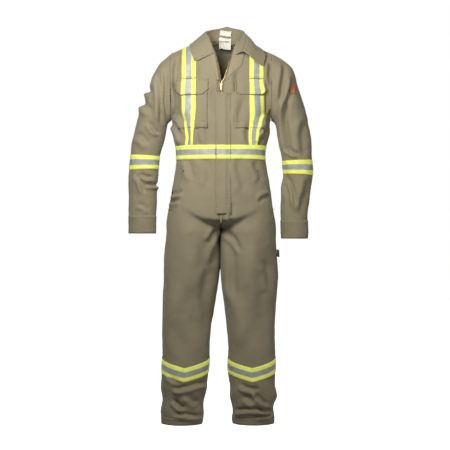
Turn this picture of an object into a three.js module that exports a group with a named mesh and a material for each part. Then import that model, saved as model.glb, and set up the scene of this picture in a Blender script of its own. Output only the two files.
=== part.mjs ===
// Work coverall: a one-piece long-sleeved garment, modelled as a hollow shell of sewn panels.
// Millimetres, +Z up, the front faces -Y, +X is the wearer's left side.
// Heights are given above the ground line, and the whole garment is shifted at the end, so
// that its origin is the underside of the hanger loop inside the back neck.
import * as THREE from 'three';
import { mergeVertices } from 'three/addons/utils/BufferGeometryUtils.js';

// ---------- driving dimensions ----------
const CLOTH = 2.4;            // wall of a sewn panel with its facing and seams
const GAP = 0.3;              // air between two pieces that touch edge to edge
const LAY = 0.9;              // air under a piece laid on a curved panel
const ON_CLOTH = CLOTH + LAY; // lowest offset of a piece laid on the outside of a panel
const TRIM = 1.2;             // thickness of the reflective trim
const TRIM_WIDTH = 58;        // full width of the three-stripe trim
const SIDES = { right: -1, left: 1 };

// heights
const HEM_Z = 3;
const LEG_TAPE_Z = 248;       // middle of the trim band at the side of the leg
const CROTCH_Z = 790;         // where the legs part from the hips
const FORK_Z = 838;           // lower end of the front opening
const WAIST_Z = 1115;
const ARMPIT_Z = 1245;
const THROAT_Z = 1400;        // lower end of the open neck
const SHOULDER_TIP_Z = 1529;
const NECK_Z = 1580;

// half widths and depths of the trunk
const HIP_HALF = 224;
const WAIST_HALF = 183;
const ARMHOLE_X = 205;        // plane of each armhole seam
const CHEST_HALF = 248;       // the chest curve carried past the armhole plane
const FRONT_AT_FORK = 146;    // the centre front is one straight, slightly leaning line
const FRONT_AT_THROAT = 111;
const SEAT_DEPTH = 128;
const WAIST_BACK_DEPTH = 104;
const CHEST_BACK_DEPTH = 130;
const ROUNDNESS = 2.5;        // exponent of the trunk's cross section

// neck
const NECK_HALF = 77;
const NECK_BACK_Y = 62;
const STAND_HEIGHT = 34;
const LEAF_BACK = 44;
const LEAF_POINT = 76;

// sleeves
const CUFF_DEPTH = 74;
const CUFF_X = { right: 326, left: 302 };
const CUFF_Z = { right: 785, left: 764 };
const CUFF_HALF_WIDTH = 56;
const SLEEVE_TAPE_Z = { right: 1077, left: 1057 };

// legs
const THIGH_HALF = 113;
const HEM_HALF = 84;
const HEM_X = 148;
const HEM_LEAN = -15;         // both legs hang a little towards the wearer's right
const LEG_HEM_DEPTH = 30;

// front opening
const EDGE_X = 12;            // half the gap between the two front edges
const TEETH_HALF = 2.4;
const TAPE_REACH = 16;        // outer edge of each zip tape
const PLACKET_FREE_X = -19;
const PLACKET_SEWN_X = 39;
const PLACKET_LIFT = 7;       // room under the flap for the slider and its pull
const SLIDER_LENGTH = 15;
const SLIDER_WIDTH = 11;
const PULL_LENGTH = 22;
const PULL_HALF = 3;
const PULL_WALL = 1;
const SLIDER_WALL = 1.6;

// pockets
const CHEST_POCKET = { inner: 55, outer: 178, bottom: 1212, top: 1392 };
const FLAP = { top: 1412, length: 64, mitre: 20, lift: 3 };
const SHOULDER_TAPE_X = 130;

// ---------- small helpers ----------
const V3 = (x, y, z) => new THREE.Vector3(x, y, z);
const lerp = THREE.MathUtils.lerp;
const smooth = (t) => THREE.MathUtils.smoothstep(t, 0, 1);

// A smooth value along a list of [position, value] stations.
function along(stations) {
  const positions = stations.map((s) => s[0]);
  const values = stations.map((s) => s[1]);
  const curve = new THREE.CubicInterpolant(positions, values, 1);
  return (t) => curve.evaluate(THREE.MathUtils.clamp(t, positions[0], positions.at(-1)))[0];
}

// The merged unit shape is carried point by point to its real place.
function shaped(unit, place) {
  unit.deleteAttribute('normal');
  unit.deleteAttribute('uv');
  const geometry = mergeVertices(unit, 1e-4);
  const position = geometry.attributes.position;
  for (let i = 0; i < position.count; i++) {
    const p = place(V3().fromBufferAttribute(position, i));
    position.setXYZ(i, p.x, p.y, p.z);
  }
  const index = geometry.index;
  let volume = 0;
  for (let i = 0; i < index.count; i += 3) {
    const [a, b, c] = [0, 1, 2].map((k) => V3().fromBufferAttribute(position, index.getX(i + k)));
    volume += a.dot(b.cross(c));
  }
  if (volume < 0) {
    for (let i = 0; i < index.count; i += 3) {
      const first = index.getX(i);
      index.setX(i, index.getX(i + 1));
      index.setX(i + 1, first);
    }
  }
  geometry.computeVertexNormals();
  return geometry;
}

// A point lifted off a surface along its normal, away from the middle of the garment.
function lifted(surface, inside, u, v, offset) {
  const step = 1e-3;
  const clamp = (t) => THREE.MathUtils.clamp(t, 0, 1);
  const p = surface(u, v);
  const acrossStep = surface(clamp(u + step), v).sub(surface(clamp(u - step), v));
  const alongStep = surface(u, clamp(v + step)).sub(surface(u, clamp(v - step)));
  const normal = acrossStep.cross(alongStep).normalize();
  if (normal.dot(p.clone().sub(inside(p))) < 0) normal.negate();
  return normal.multiplyScalar(offset).add(p);
}

// A sheet with a wall, lying on a surface between two offsets.
function sheet(surface, inside, across, lengthwise, low, high, rise = () => 0) {
  const unit = new THREE.BoxGeometry(1, 1, 1, across, lengthwise, 1);
  return shaped(unit, (p) => {
    const u = p.x + 0.5;
    const v = p.y + 0.5;
    return lifted(surface, inside, u, v, lerp(low, high, p.z + 0.5) + rise(u, v));
  });
}

// The same, closed round a tube: u runs once round it.
function band(surface, inside, around, lengthwise, low, high) {
  const wall = [];
  for (let i = 0; i <= lengthwise; i++) wall.push(new THREE.Vector2(2, i / lengthwise));
  for (let i = lengthwise; i >= 0; i--) wall.push(new THREE.Vector2(1, i / lengthwise));
  wall.push(wall[0].clone());
  return shaped(new THREE.LatheGeometry(wall, around), (p) => {
    const turn = Math.atan2(p.x, p.z) / (2 * Math.PI);
    return lifted(surface, inside, (turn + 1) % 1, p.y, lerp(low, high, Math.hypot(p.x, p.z) - 1));
  });
}

// ---------- finishes ----------
const cloth = (color) => new THREE.MeshStandardMaterial({ color, roughness: 0.92, metalness: 0 });
const KHAKI = cloth(0x9b8f74);
const KHAKI_DARK = cloth(0x857a61);
const FACING = cloth(0xa89c82);
const TRIM_FINISH = new THREE.MeshStandardMaterial({ color: 0xe4ea8c, roughness: 0.45, metalness: 0.1 });
const ZIP_TAPE = cloth(0x7d745c);
const BRASS = new THREE.MeshStandardMaterial({ color: 0xa98b4e, roughness: 0.4, metalness: 1 });
const LABEL = cloth(0xe9e7df);
const PATCH_CLOTH = cloth(0xb4683c);
const TAB = cloth(0x4a453a);

const garment = new THREE.Group();
function add(name, geometry, material, parent = garment) {
  const mesh = new THREE.Mesh(geometry, material);
  mesh.name = name;
  parent.add(mesh);
  return mesh;
}

// ---------- trunk surfaces ----------
const trunkHalf = along([
  [CROTCH_Z, HIP_HALF], [lerp(CROTCH_Z, WAIST_Z, 0.45), lerp(HIP_HALF, WAIST_HALF, 0.38)],
  [lerp(CROTCH_Z, WAIST_Z, 0.8), lerp(HIP_HALF, WAIST_HALF, 0.85)], [WAIST_Z, WAIST_HALF],
  [lerp(WAIST_Z, ARMPIT_Z, 0.65), lerp(WAIST_HALF, ARMHOLE_X, 0.8)], [ARMPIT_Z, ARMHOLE_X - CLOTH - GAP],
  [lerp(ARMPIT_Z, THROAT_Z, 0.5), lerp(ARMHOLE_X, CHEST_HALF, 0.8)], [THROAT_Z, CHEST_HALF],
]);
const backDepth = along([
  [CROTCH_Z, SEAT_DEPTH], [lerp(CROTCH_Z, WAIST_Z, 0.4), SEAT_DEPTH],
  [WAIST_Z, WAIST_BACK_DEPTH], [ARMPIT_Z, lerp(WAIST_BACK_DEPTH, CHEST_BACK_DEPTH, 0.75)],
  [THROAT_Z, CHEST_BACK_DEPTH],
]);
const frontDepth = (z) => lerp(FRONT_AT_FORK, FRONT_AT_THROAT, (z - FORK_Z) / (THROAT_Z - FORK_Z));
const FRONT_LEAN = Math.atan2(FRONT_AT_FORK - FRONT_AT_THROAT, THROAT_Z - FORK_Z);
const shoulderZ = (x) => lerp(NECK_Z, SHOULDER_TIP_Z, (Math.abs(x) - NECK_HALF) / (ARMHOLE_X - NECK_HALF));
const trunkAxis = (p) => V3(0, 0, Math.min(p.z, THROAT_Z));

// Angle from the centre line at which the trunk's curve is at this distance from the centre.
const angleAt = (x, z) => Math.asin(Math.min(1, (x / trunkHalf(z)) ** (ROUNDNESS / 2)));

// face is -1 on the front and +1 on the back; angle runs from the centre line to the side.
function trunkPoint(side, face, angle, z) {
  const depth = face < 0 ? frontDepth(z) : backDepth(z);
  const x = trunkHalf(z) * Math.sin(angle) ** (2 / ROUNDNESS);
  const y = Math.max(depth * Math.max(0, Math.cos(angle)) ** (2 / ROUNDNESS), GAP / 2);
  return V3(side * x, face * y, z);
}

// Above the throat height the trunk closes over the shoulders; rise runs from 0 to 1.
function shoulderPoint(side, face, angle, rise) {
  const p = trunkPoint(side, face, angle, THROAT_Z);
  const turn = (rise * Math.PI) / 2;
  p.z = THROAT_Z + (shoulderZ(p.x) - THROAT_Z) * Math.sin(turn);
  p.y = face * Math.max(Math.abs(p.y) * Math.cos(turn), GAP / 2);
  return p;
}

// The same dome in one sweep: swing is 0 at the front, 90 degrees on the ridge, 180 at the back.
function shoulderSweep(x, swing) {
  const face = swing < Math.PI / 2 ? -1 : 1;
  const p = trunkPoint(Math.sign(x) || 1, face, angleAt(Math.abs(x), THROAT_Z), THROAT_Z);
  p.z = THROAT_Z + (shoulderZ(x) - THROAT_Z) * Math.sin(swing);
  p.y *= Math.abs(Math.cos(swing));
  return p;
}

// A point of the trunk at distance x from the centre and height z, over the shoulders too.
function trunkAt(x, face, z) {
  const side = Math.sign(x) || 1;
  const distance = Math.abs(x);
  if (z <= THROAT_Z) return trunkPoint(side, face, angleAt(distance, z), z);
  const sine = Math.min(1, (z - THROAT_Z) / (shoulderZ(distance) - THROAT_Z));
  const rise = (2 / Math.PI) * Math.asin(sine);
  return shoulderPoint(side, face, angleAt(distance, THROAT_Z), rise);
}

// ---------- upper body ----------
const UPPER_ROWS = 17;
const DOME_ROWS = 8;          // rows of an upper panel above the throat height
const BODY_SHARE = 1 - DOME_ROWS / UPPER_ROWS;
function upperHeights(v, panel) {
  if (v <= BODY_SHARE) return panel(lerp(WAIST_Z + GAP, THROAT_Z, v / BODY_SHARE), 0);
  return panel(THROAT_Z, (v - BODY_SHARE) / (1 - BODY_SHARE));
}
const outerEdge = (z) => (z < ARMPIT_Z ? Math.PI / 2 : angleAt(ARMHOLE_X, z));

// The front edge leaves the centre at the throat and runs up to the side of the neck.
const neckEdgeX = (rise) => lerp(EDGE_X, NECK_HALF, Math.min(1, rise) ** 0.85);
function upperFront(side) {
  return (u, v) => upperHeights(v, (z, rise) => {
    const inner = angleAt(neckEdgeX(rise), z);
    const angle = lerp(inner, outerEdge(z), u);
    return z < THROAT_Z || rise === 0 ? trunkPoint(side, -1, angle, z) : shoulderPoint(side, -1, angle, rise);
  });
}

// The back is one piece across, hollowed at the top for the neck.
function neckHollow(x, edge) {
  if (Math.abs(x) >= NECK_HALF) return 1;
  const y = NECK_BACK_Y * Math.sqrt(1 - (x / NECK_HALF) ** 2);
  return (2 / Math.PI) * Math.acos(Math.min(1, y / edge));
}
function upperBack(u, v) {
  const side = u < 0.5 ? -1 : 1;
  const across = Math.abs(u - 0.5) * 2;
  return upperHeights(v, (z, rise) => {
    const angle = across * outerEdge(z);
    if (rise === 0) return trunkPoint(side, 1, angle, z);
    const p = trunkPoint(side, 1, angle, THROAT_Z);
    return shoulderPoint(side, 1, angle, rise * neckHollow(p.x, p.y));
  });
}

// Each armhole edge is trimmed to the plane of its seam.
function trimmed(geometry, keep) {
  const position = geometry.attributes.position;
  for (let i = 0; i < position.count; i++) position.setX(i, keep(position.getX(i), position.getZ(i)));
  return geometry;
}
const withinArmholes = (x, z) => (z < ARMPIT_Z - 1 ? x : THREE.MathUtils.clamp(x, -ARMHOLE_X, ARMHOLE_X));
for (const [name, side] of Object.entries(SIDES)) {
  add(`upper_front_${name}`,
    trimmed(sheet(upperFront(side), trunkAxis, 8, UPPER_ROWS, 0, CLOTH), withinArmholes), KHAKI);
}
add('upper_back', trimmed(sheet(upperBack, trunkAxis, 16, UPPER_ROWS, 0, CLOTH), withinArmholes), KHAKI);

// ---------- legs ----------
const legCentre = along([[0, HEM_X], [200, 139], [450, 129], [CROTCH_Z, THIGH_HALF + EDGE_X / 4]]);
const legHalf = along([[0, HEM_HALF], [100, 90], [200, 97], [350, 98], [500, 108], [620, 115], [CROTCH_Z, THIGH_HALF]]);
const legFrontDepth = along([[0, 78], [200, 84], [450, 92], [CROTCH_Z, 126]]);
const legBackDepth = along([[0, 78], [200, 88], [450, 98], [CROTCH_Z, 122]]);
const legX = (side, z) => side * legCentre(z) + HEM_LEAN * (1 - z / CROTCH_Z);

// turn runs from the inside leg seam at -90 degrees to the side seam at +90 degrees.
function legPoint(side, face, turn, z) {
  const depth = face < 0 ? legFrontDepth(z) : legBackDepth(z);
  const y = Math.max(depth * Math.cos(turn), GAP / 2);
  return V3(legX(side, z) + side * legHalf(z) * Math.sin(turn), face * y, z);
}
const legAxis = (side) => (p) => V3(legX(side, Math.min(p.z, CROTCH_Z)), 0, p.z);

const HIP_COLUMNS = 12;
const HIP_ROWS = 10;
const FORK_ROWS = 3;          // rows of a hip panel below the fork
const LEG_COLUMNS = 10;       // of each half; bands and hems have twice as many
// Hip panels run from the waist to the top of the leg, and turn under the body at the fork.
function hipPanel(side, face) {
  return (u, v) => {
    const share = FORK_ROWS / HIP_ROWS;
    const z = v < share
      ? lerp(CROTCH_Z + GAP, FORK_Z, v / share)
      : lerp(FORK_Z, WAIST_Z - GAP, (v - share) / (1 - share));
    const split = smooth((FORK_Z - z) / (FORK_Z - CROTCH_Z));
    const innerX = face < 0 ? EDGE_X : GAP;
    const hip = trunkPoint(side, face, lerp(angleAt(innerX, z), Math.PI / 2, u), z);
    const leg = legPoint(side, face, lerp(-Math.PI / 2, Math.PI / 2, u), CROTCH_Z);
    const p = hip.clone().lerp(leg, split);
    return p.setZ(z);
  };
}
const hipAxis = (side) => (p) => V3(side * Math.min(Math.abs(p.x), THIGH_HALF), 0, Math.max(p.z, CROTCH_Z + 30));

for (const [name, side] of Object.entries(SIDES)) {
  for (const [where, face] of [['front', -1], ['back', 1]]) {
    add(`hip_${where}_${name}`,
      sheet(hipPanel(side, face), hipAxis(side), HIP_COLUMNS, HIP_ROWS, 0, CLOTH), KHAKI);
    const leg = (u, v) => legPoint(side, face, lerp(-Math.PI / 2, Math.PI / 2, u),
      lerp(HEM_Z + LEG_HEM_DEPTH + GAP, CROTCH_Z - GAP, v));
    add(`leg_${where}_${name}`, sheet(leg, legAxis(side), LEG_COLUMNS, 9, 0, CLOTH), KHAKI);
  }
}

// Bands and hems close round the leg: the turn goes from the front over the side to the back.
function legRound(side, u, z) {
  const turn = u * 2 * Math.PI;
  const face = Math.cos(turn) > 0 ? -1 : 1;
  const depth = face < 0 ? legFrontDepth(z) : legBackDepth(z);
  return V3(legX(side, z) + side * legHalf(z) * Math.sin(turn), -depth * Math.cos(turn), z);
}
const TAPE_DIP = 39;          // how far the leg trim dips at the front crease
for (const [name, side] of Object.entries(SIDES)) {
  const hem = (u, v) => legRound(side, u, lerp(HEM_Z, HEM_Z + LEG_HEM_DEPTH, v));
  add(`leg_hem_${name}`, band(hem, legAxis(side), 2 * LEG_COLUMNS, 1, 0, CLOTH), KHAKI_DARK);
  const tape = (u, v) => {
    const fromCrease = Math.min(u, 1 - u) * 4;
    const fall = TAPE_DIP * Math.max(0, 1 - fromCrease);
    return legRound(side, u, LEG_TAPE_Z - fall + lerp(-TRIM_WIDTH / 2, TRIM_WIDTH / 2, v));
  };
  add(`leg_tape_${name}`, band(tape, legAxis(side), 2 * LEG_COLUMNS, 2, ON_CLOTH, ON_CLOTH + TRIM), TRIM_FINISH);
}

// ---------- sleeves ----------
const SLEEVE_COLUMNS = 24;
// Each station has the sleeve's outer and inner line in the front view and its half depth.
function sleeveStations(name) {
  const cuffX = CUFF_X[name];
  const cuffZ = CUFF_Z[name];
  const sleeveEnd = cuffZ + CUFF_DEPTH;
  const middle = lerp(sleeveEnd, ARMPIT_Z, 0.55);
  const rows = [
    [0, ARMHOLE_X + GAP, SHOULDER_TIP_Z, ARMHOLE_X + GAP, ARMPIT_Z + 6, 84],
    [0.065, ARMHOLE_X + 49, SHOULDER_TIP_Z - 46, ARMHOLE_X + 10, ARMPIT_Z - 1, 86],
    [0.157, ARMHOLE_X + 92, SHOULDER_TIP_Z - 145, ARMHOLE_X + 17, ARMPIT_Z - 11, 80],
    [0.29, ARMHOLE_X + 140, ARMPIT_Z + 12, ARMHOLE_X + 24, ARMPIT_Z - 46, 68],
    [0.546, ARMHOLE_X + 172, middle, ARMHOLE_X + 50, middle, 61],
    [0.883, cuffX + CUFF_HALF_WIDTH + 1, sleeveEnd, cuffX - CUFF_HALF_WIDTH - 1, sleeveEnd, 52],
    [1, cuffX + CUFF_HALF_WIDTH, cuffZ, cuffX - CUFF_HALF_WIDTH, cuffZ, 50],
  ];
  return [1, 2, 3, 4, 5].map((column) => along(rows.map((row) => [row[0], row[column]])));
}

function makeSleeve(name, side) {
  const [outerX, outerZ, innerX, innerZ, halfDepth] = sleeveStations(name);
  const outer = (s) => V3(side * outerX(s), 0, outerZ(s));
  const inner = (s) => V3(side * innerX(s), 0, innerZ(s));
  const point = (u, s) => {
    const turn = u * 2 * Math.PI;
    const p = inner(s).lerp(outer(s), 0.5 + 0.5 * Math.cos(turn));
    return p.setY(halfDepth(s) * Math.sin(turn));
  };
  const axis = (p) => {
    let nearest = 0;
    let best = Infinity;
    for (let s = 0; s <= 1; s += 0.02) {
      const distance = inner(s).lerp(outer(s), 0.5).distanceTo(p);
      if (distance < best) [best, nearest] = [distance, s];
    }
    return inner(nearest).lerp(outer(nearest), 0.5);
  };
  // Place along the sleeve at which its middle line has this height.
  const placeOf = (z) => {
    let [low, high] = [0, 1];
    for (let i = 0; i < 40; i++) {
      const middle = (low + high) / 2;
      if ((outerZ(middle) + innerZ(middle)) / 2 > z) low = middle;
      else high = middle;
    }
    return low;
  };
  const stretch = (from, to) => (u, v) => point(u, lerp(from, to, v));
  const cuffTop = CUFF_Z[name] + CUFF_DEPTH;
  const sleeve = band(stretch(0, placeOf(cuffTop + GAP)), axis, SLEEVE_COLUMNS, 12, 0, CLOTH);
  const outsideArmhole = (x) => side * Math.max(side * x, ARMHOLE_X + GAP);
  add(`sleeve_${name}`, trimmed(sleeve, outsideArmhole), KHAKI);
  add(`cuff_${name}`, band(stretch(placeOf(cuffTop), 1), axis, SLEEVE_COLUMNS, 1, 0, CLOTH), KHAKI_DARK);
  const tapeZ = SLEEVE_TAPE_Z[name];
  const tape = stretch(placeOf(tapeZ + TRIM_WIDTH / 2), placeOf(tapeZ - TRIM_WIDTH / 2));
  add(`sleeve_tape_${name}`, band(tape, axis, SLEEVE_COLUMNS, 2, ON_CLOTH, ON_CLOTH + TRIM), TRIM_FINISH);
  return { point, axis, placeOf };
}
const sleeves = {};
for (const [name, side] of Object.entries(SIDES)) sleeves[name] = makeSleeve(name, side);

// A plain woven patch sewn on the left upper arm.
const PATCH = { from: 0.14, to: 0.185 };     // shares of the sleeve's length
const patchOn = sleeves.left;
const patchSurface = (u, v) => patchOn.point(lerp(19.4, 20.8, u) / SLEEVE_COLUMNS, lerp(PATCH.from, PATCH.to, v));
add('sleeve_patch', sheet(patchSurface, patchOn.axis, 2, 3, ON_CLOTH, ON_CLOTH + 1), PATCH_CLOTH);

// ---------- front opening ----------
// Pieces of the opening lie on the leaning front plane between two distances from the centre.
const OPENING_LOW = FORK_Z + 2;
function strip(x0, x1, low, high) {
  return (u, v) => trunkAt(lerp(x0, x1, u), -1, lerp(low, high, v));
}

const OPEN_RISE = 0.5;        // how far up the neck edges the zip runs, as far as the collar
// Zip tapes and teeth run up the centre, then follow the two open neck edges.
function openingEdge(side, near, far) {
  const closedShare = 0.5;
  return (u, v) => {
    const x = lerp(near, far, u);
    if (v <= closedShare) return trunkAt(side * x, -1, lerp(OPENING_LOW, THROAT_Z, v / closedShare));
    const rise = ((v - closedShare) / (1 - closedShare)) * OPEN_RISE;
    const angle = angleAt(neckEdgeX(rise) - EDGE_X + x, THROAT_Z);
    return shoulderPoint(side, -1, angle, rise);
  };
}
for (const [name, side] of Object.entries(SIDES)) {
  const tape = openingEdge(side, TEETH_HALF + GAP, TAPE_REACH);
  add(`zip_tape_${name}`, sheet(tape, trunkAxis, 1, 2 * DOME_ROWS, -LAY - 1.2, -LAY), ZIP_TAPE);
  const teeth = openingEdge(side, GAP / 2, TEETH_HALF);
  add(`zip_teeth_${name}`, sheet(teeth, trunkAxis, 1, 2 * DOME_ROWS, -2.6, 1), BRASS);
}

// The front plate of a slider, wide where the two rows of teeth enter it.
function sliderBody() {
  const outline = new THREE.Shape();
  const half = SLIDER_WIDTH / 2;
  outline.moveTo(-half, SLIDER_LENGTH / 2);
  outline.lineTo(half, SLIDER_LENGTH / 2);
  outline.lineTo(half * 0.7, -SLIDER_LENGTH / 2);
  outline.lineTo(-half * 0.7, -SLIDER_LENGTH / 2);
  outline.closePath();
  const plate = { depth: SLIDER_WALL, bevelEnabled: false };
  return new THREE.ExtrudeGeometry(outline, plate);
}
const SLIDER_FACE = 1 + GAP;  // the slider's plate runs just in front of the teeth
function openingFrame(z) {
  const frame = new THREE.Group();
  frame.position.set(0, -frontDepth(z), z);
  frame.rotation.x = Math.PI / 2 - FRONT_LEAN;
  garment.add(frame);
  return frame;
}
function addSlider(name, z, turned) {
  const frame = openingFrame(z);
  const plate = add(name, sliderBody(), BRASS, frame);
  plate.position.z = SLIDER_FACE;
  plate.rotation.z = turned ? Math.PI : 0;
  const tab = new THREE.Shape();
  tab.moveTo(PULL_HALF, 0);
  tab.lineTo(-PULL_HALF, 0);
  tab.lineTo(-PULL_HALF, PULL_HALF - PULL_LENGTH);
  tab.absarc(0, PULL_HALF - PULL_LENGTH, PULL_HALF, Math.PI, 2 * Math.PI, false);
  tab.closePath();
  const hole = new THREE.Path();
  hole.absarc(0, PULL_HALF - PULL_LENGTH, PULL_HALF / 2, 0, 2 * Math.PI, true);
  tab.holes.push(hole);
  const pull = add(`${name}_pull`, new THREE.ExtrudeGeometry(tab, {
    depth: PULL_WALL, bevelEnabled: false, curveSegments: 6,
  }), BRASS, frame);
  pull.position.z = SLIDER_FACE + SLIDER_WALL + LAY;
}
const SLIDER_Z = THROAT_Z - SLIDER_LENGTH;
addSlider('zip_slider', SLIDER_Z, false);
const LOWER_SLIDER_Z = OPENING_LOW + 10;
addSlider('lower_slider', LOWER_SLIDER_Z, true);

// The flap that covers the zip is sewn to the left front and laps over the right front.
const PLACKET_TOP = SLIDER_Z - PULL_LENGTH - 8;
const PLACKET_LOW = LOWER_SLIDER_Z + SLIDER_LENGTH;
const placket = strip(PLACKET_SEWN_X, PLACKET_FREE_X, PLACKET_LOW, PLACKET_TOP);
const PLACKET_SEAT = CLOTH + 2 * GAP;
const placketLift = (u) => PLACKET_SEAT + (PLACKET_LIFT - PLACKET_SEAT) * smooth((u - 0.1) / 0.2);
add('cover_placket', sheet(placket, trunkAxis, 10, 12, 0, CLOTH, placketLift), KHAKI);
const placketTape = strip(PLACKET_SEWN_X - 19, PLACKET_FREE_X + 1,
  WAIST_Z - TRIM_WIDTH / 2, WAIST_Z + TRIM_WIDTH / 2);
const ON_PLACKET = PLACKET_LIFT + CLOTH + LAY;
add('placket_tape', sheet(placketTape, trunkAxis, 4, 3, ON_PLACKET, ON_PLACKET + TRIM), TRIM_FINISH);

// ---------- waist trim ----------
const waistLow = WAIST_Z - TRIM_WIDTH / 2;
const waistHigh = WAIST_Z + TRIM_WIDTH / 2;
function waistFront(side, from) {
  return (u, v) => {
    const z = lerp(waistLow, waistHigh, v);
    return trunkPoint(side, -1, lerp(angleAt(from, z), Math.PI / 2, u), z);
  };
}
const TAPE_START = { right: EDGE_X + 12, left: PLACKET_SEWN_X + 5 };
for (const [name, side] of Object.entries(SIDES)) {
  add(`waist_tape_front_${name}`,
    sheet(waistFront(side, TAPE_START[name]), trunkAxis, 14, 2, ON_CLOTH, ON_CLOTH + TRIM), TRIM_FINISH);
}
const waistBack = (u, v) => {
  const across = Math.abs(u - 0.5) * Math.PI;
  return trunkPoint(u < 0.5 ? -1 : 1, 1, across, lerp(waistLow, waistHigh, v));
};
add('waist_tape_back', sheet(waistBack, trunkAxis, 24, 2, ON_CLOTH, ON_CLOTH + TRIM), TRIM_FINISH);

// ---------- chest pockets, flaps and shoulder trim ----------
const POCKET_WALL = 2;
const ON_PANEL = ON_CLOTH + GAP;  // the pocket stands a little off the curved chest
const FLAP_BASE = ON_PANEL + POCKET_WALL + LAY;
const HALF_TRIM = TRIM_WIDTH / 2;
for (const [name, side] of Object.entries(SIDES)) {
  const pocket = strip(side * CHEST_POCKET.inner, side * CHEST_POCKET.outer, CHEST_POCKET.bottom, CHEST_POCKET.top);
  add(`chest_pocket_${name}`, sheet(pocket, trunkAxis, 7, 8, ON_PANEL, ON_PANEL + POCKET_WALL), KHAKI_DARK);

  // The flap's lower corners are cut off at an angle.
  const flapBottom = FLAP.top - FLAP.length;
  const flap = (u, v) => {
    const edge = Math.min(u, 1 - u) * (CHEST_POCKET.outer - CHEST_POCKET.inner);
    const cut = Math.max(0, FLAP.mitre - edge);
    const x = side * lerp(CHEST_POCKET.inner - 3, CHEST_POCKET.outer + 3, u);
    return trunkAt(x, -1, lerp(flapBottom + cut, FLAP.top, v));
  };
  // Its top edge is sewn down to the front, and it clears the pocket below that seam.
  const flapRise = (u, v) => lerp(FLAP_BASE + FLAP.lift * (1 - v), CLOTH + 2 * GAP, smooth((v - 0.7) / 0.3));
  add(`chest_flap_${name}`, sheet(flap, trunkAxis, 10, 4, 0, CLOTH, flapRise), KHAKI);
  const onFlap = CLOTH + LAY;
  const near = side * (SHOULDER_TAPE_X - HALF_TRIM);
  const far = side * (SHOULDER_TAPE_X + HALF_TRIM);
  add(`flap_tape_${name}`,
    sheet(strip(near, far, flapBottom, FLAP.top), trunkAxis, 3, 4, onFlap, onFlap + TRIM, flapRise), TRIM_FINISH);

  // Below the flap the trim runs on over the pocket, and stops above the waist trim.
  const onPocket = ON_PANEL + POCKET_WALL + LAY;
  add(`chest_tape_${name}`,
    sheet(strip(near, far, CHEST_POCKET.bottom, flapBottom - 4), trunkAxis, 3, 7, onPocket, onPocket + TRIM), TRIM_FINISH);
  add(`belly_tape_${name}`,
    sheet(strip(near, far, waistHigh + GAP, CHEST_POCKET.bottom - GAP), trunkAxis, 3, 4, ON_CLOTH, ON_CLOTH + TRIM), TRIM_FINISH);

  // From the flap the trim runs over the shoulder and down the back to the waist trim.
  const flapGap = 10;
  const startZ = FLAP.top + flapGap;
  const overShoulder = (u, v) => {
    const x = SHOULDER_TAPE_X + lerp(-HALF_TRIM, HALF_TRIM, u);
    const top = Math.asin((startZ - THROAT_Z) / (shoulderZ(SHOULDER_TAPE_X) - THROAT_Z));
    const share = 0.7;
    if (v > share) return trunkAt(side * x, 1, lerp(THROAT_Z, waistHigh + GAP, (v - share) / (1 - share)));
    return shoulderSweep(side * x, lerp(top, Math.PI, v / share));
  };
  const onBack = ON_CLOTH + 2 * GAP;
  add(`shoulder_tape_${name}`, sheet(overShoulder, trunkAxis, 2, 30, onBack, onBack + TRIM), TRIM_FINISH);
}

// ---------- lower pockets ----------
const SIDE_BAG = { front: 5 / 12, back: 10 / 12, low: 0.3, high: 0.8 };   // shares of the hip panel
const HIP_POCKET = { inner: 45, outer: 165, low: 872, high: 1012 };
for (const [name, side] of Object.entries(SIDES)) {
  const panel = hipPanel(side, -1);
  const bag = (u, v) => panel(lerp(SIDE_BAG.front, SIDE_BAG.back, u), lerp(SIDE_BAG.low, SIDE_BAG.high, v));
  add(`side_pocket_bag_${name}`, sheet(bag, hipAxis(side), 5, 5, -GAP - 2, -GAP), FACING);
  const patch = (u, v) => trunkAt(side * lerp(HIP_POCKET.inner, HIP_POCKET.outer, u), 1,
    lerp(HIP_POCKET.low, HIP_POCKET.high, v));
  add(`hip_pocket_${name}`, sheet(patch, trunkAxis, 6, 4, ON_CLOTH, ON_CLOTH + POCKET_WALL), KHAKI_DARK);
}

// A small woven tab caught in the left side seam at the thigh.
const TAB_Z = 705;
const tab = (u, v) => legPoint(1, -1, lerp(1.28, 1.52, u), lerp(TAB_Z - 15, TAB_Z + 15, v));
add('thigh_tab', sheet(tab, legAxis(1), 2, 2, CLOTH + GAP, CLOTH + GAP + 1.4), TAB);

// ---------- collar ----------
// q runs from -1 at the right front end, over the back at 0, to +1 at the left front end.
function neckPlace(q) {
  const reach = Math.abs(q);
  if (reach > 0.5) {
    const rise = lerp(1, OPEN_RISE, (reach - 0.5) * 2);
    return [Math.sign(q) * neckEdgeX(rise), (rise * Math.PI) / 2];
  }
  const x = NECK_HALF * Math.sin(q * Math.PI);
  const y = NECK_BACK_Y * Math.cos(q * Math.PI);
  const edge = trunkPoint(1, 1, angleAt(Math.abs(x), THROAT_Z), THROAT_Z).y;
  return [x, Math.PI - Math.acos(Math.min(1, y / edge))];
}
const neckLine = (q) => shoulderSweep(...neckPlace(q));
function outward(q) {
  const step = 0.02;
  const run = neckLine(Math.min(1, q + step)).sub(neckLine(Math.max(-1, q - step)));
  return V3(-run.y, run.x, 0).normalize();
}
const STAND_BASE = CLOTH + GAP + 1.2;
const COLLAR_COLUMNS = 28;
const standHeight = (q) => STAND_HEIGHT * (1 - 0.35 * smooth(Math.abs(q)));
const neckAxis = () => V3(0, -10, NECK_Z - 40);
function stand(u, v) {
  const q = lerp(-1, 1, u);
  const p = neckLine(q).addScaledVector(outward(q), -1 + 3 * v);
  p.z += STAND_BASE + v * standHeight(q);
  return p;
}
add('collar_stand', sheet(stand, neckAxis, COLLAR_COLUMNS, 2, 0, CLOTH), KHAKI);

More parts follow.
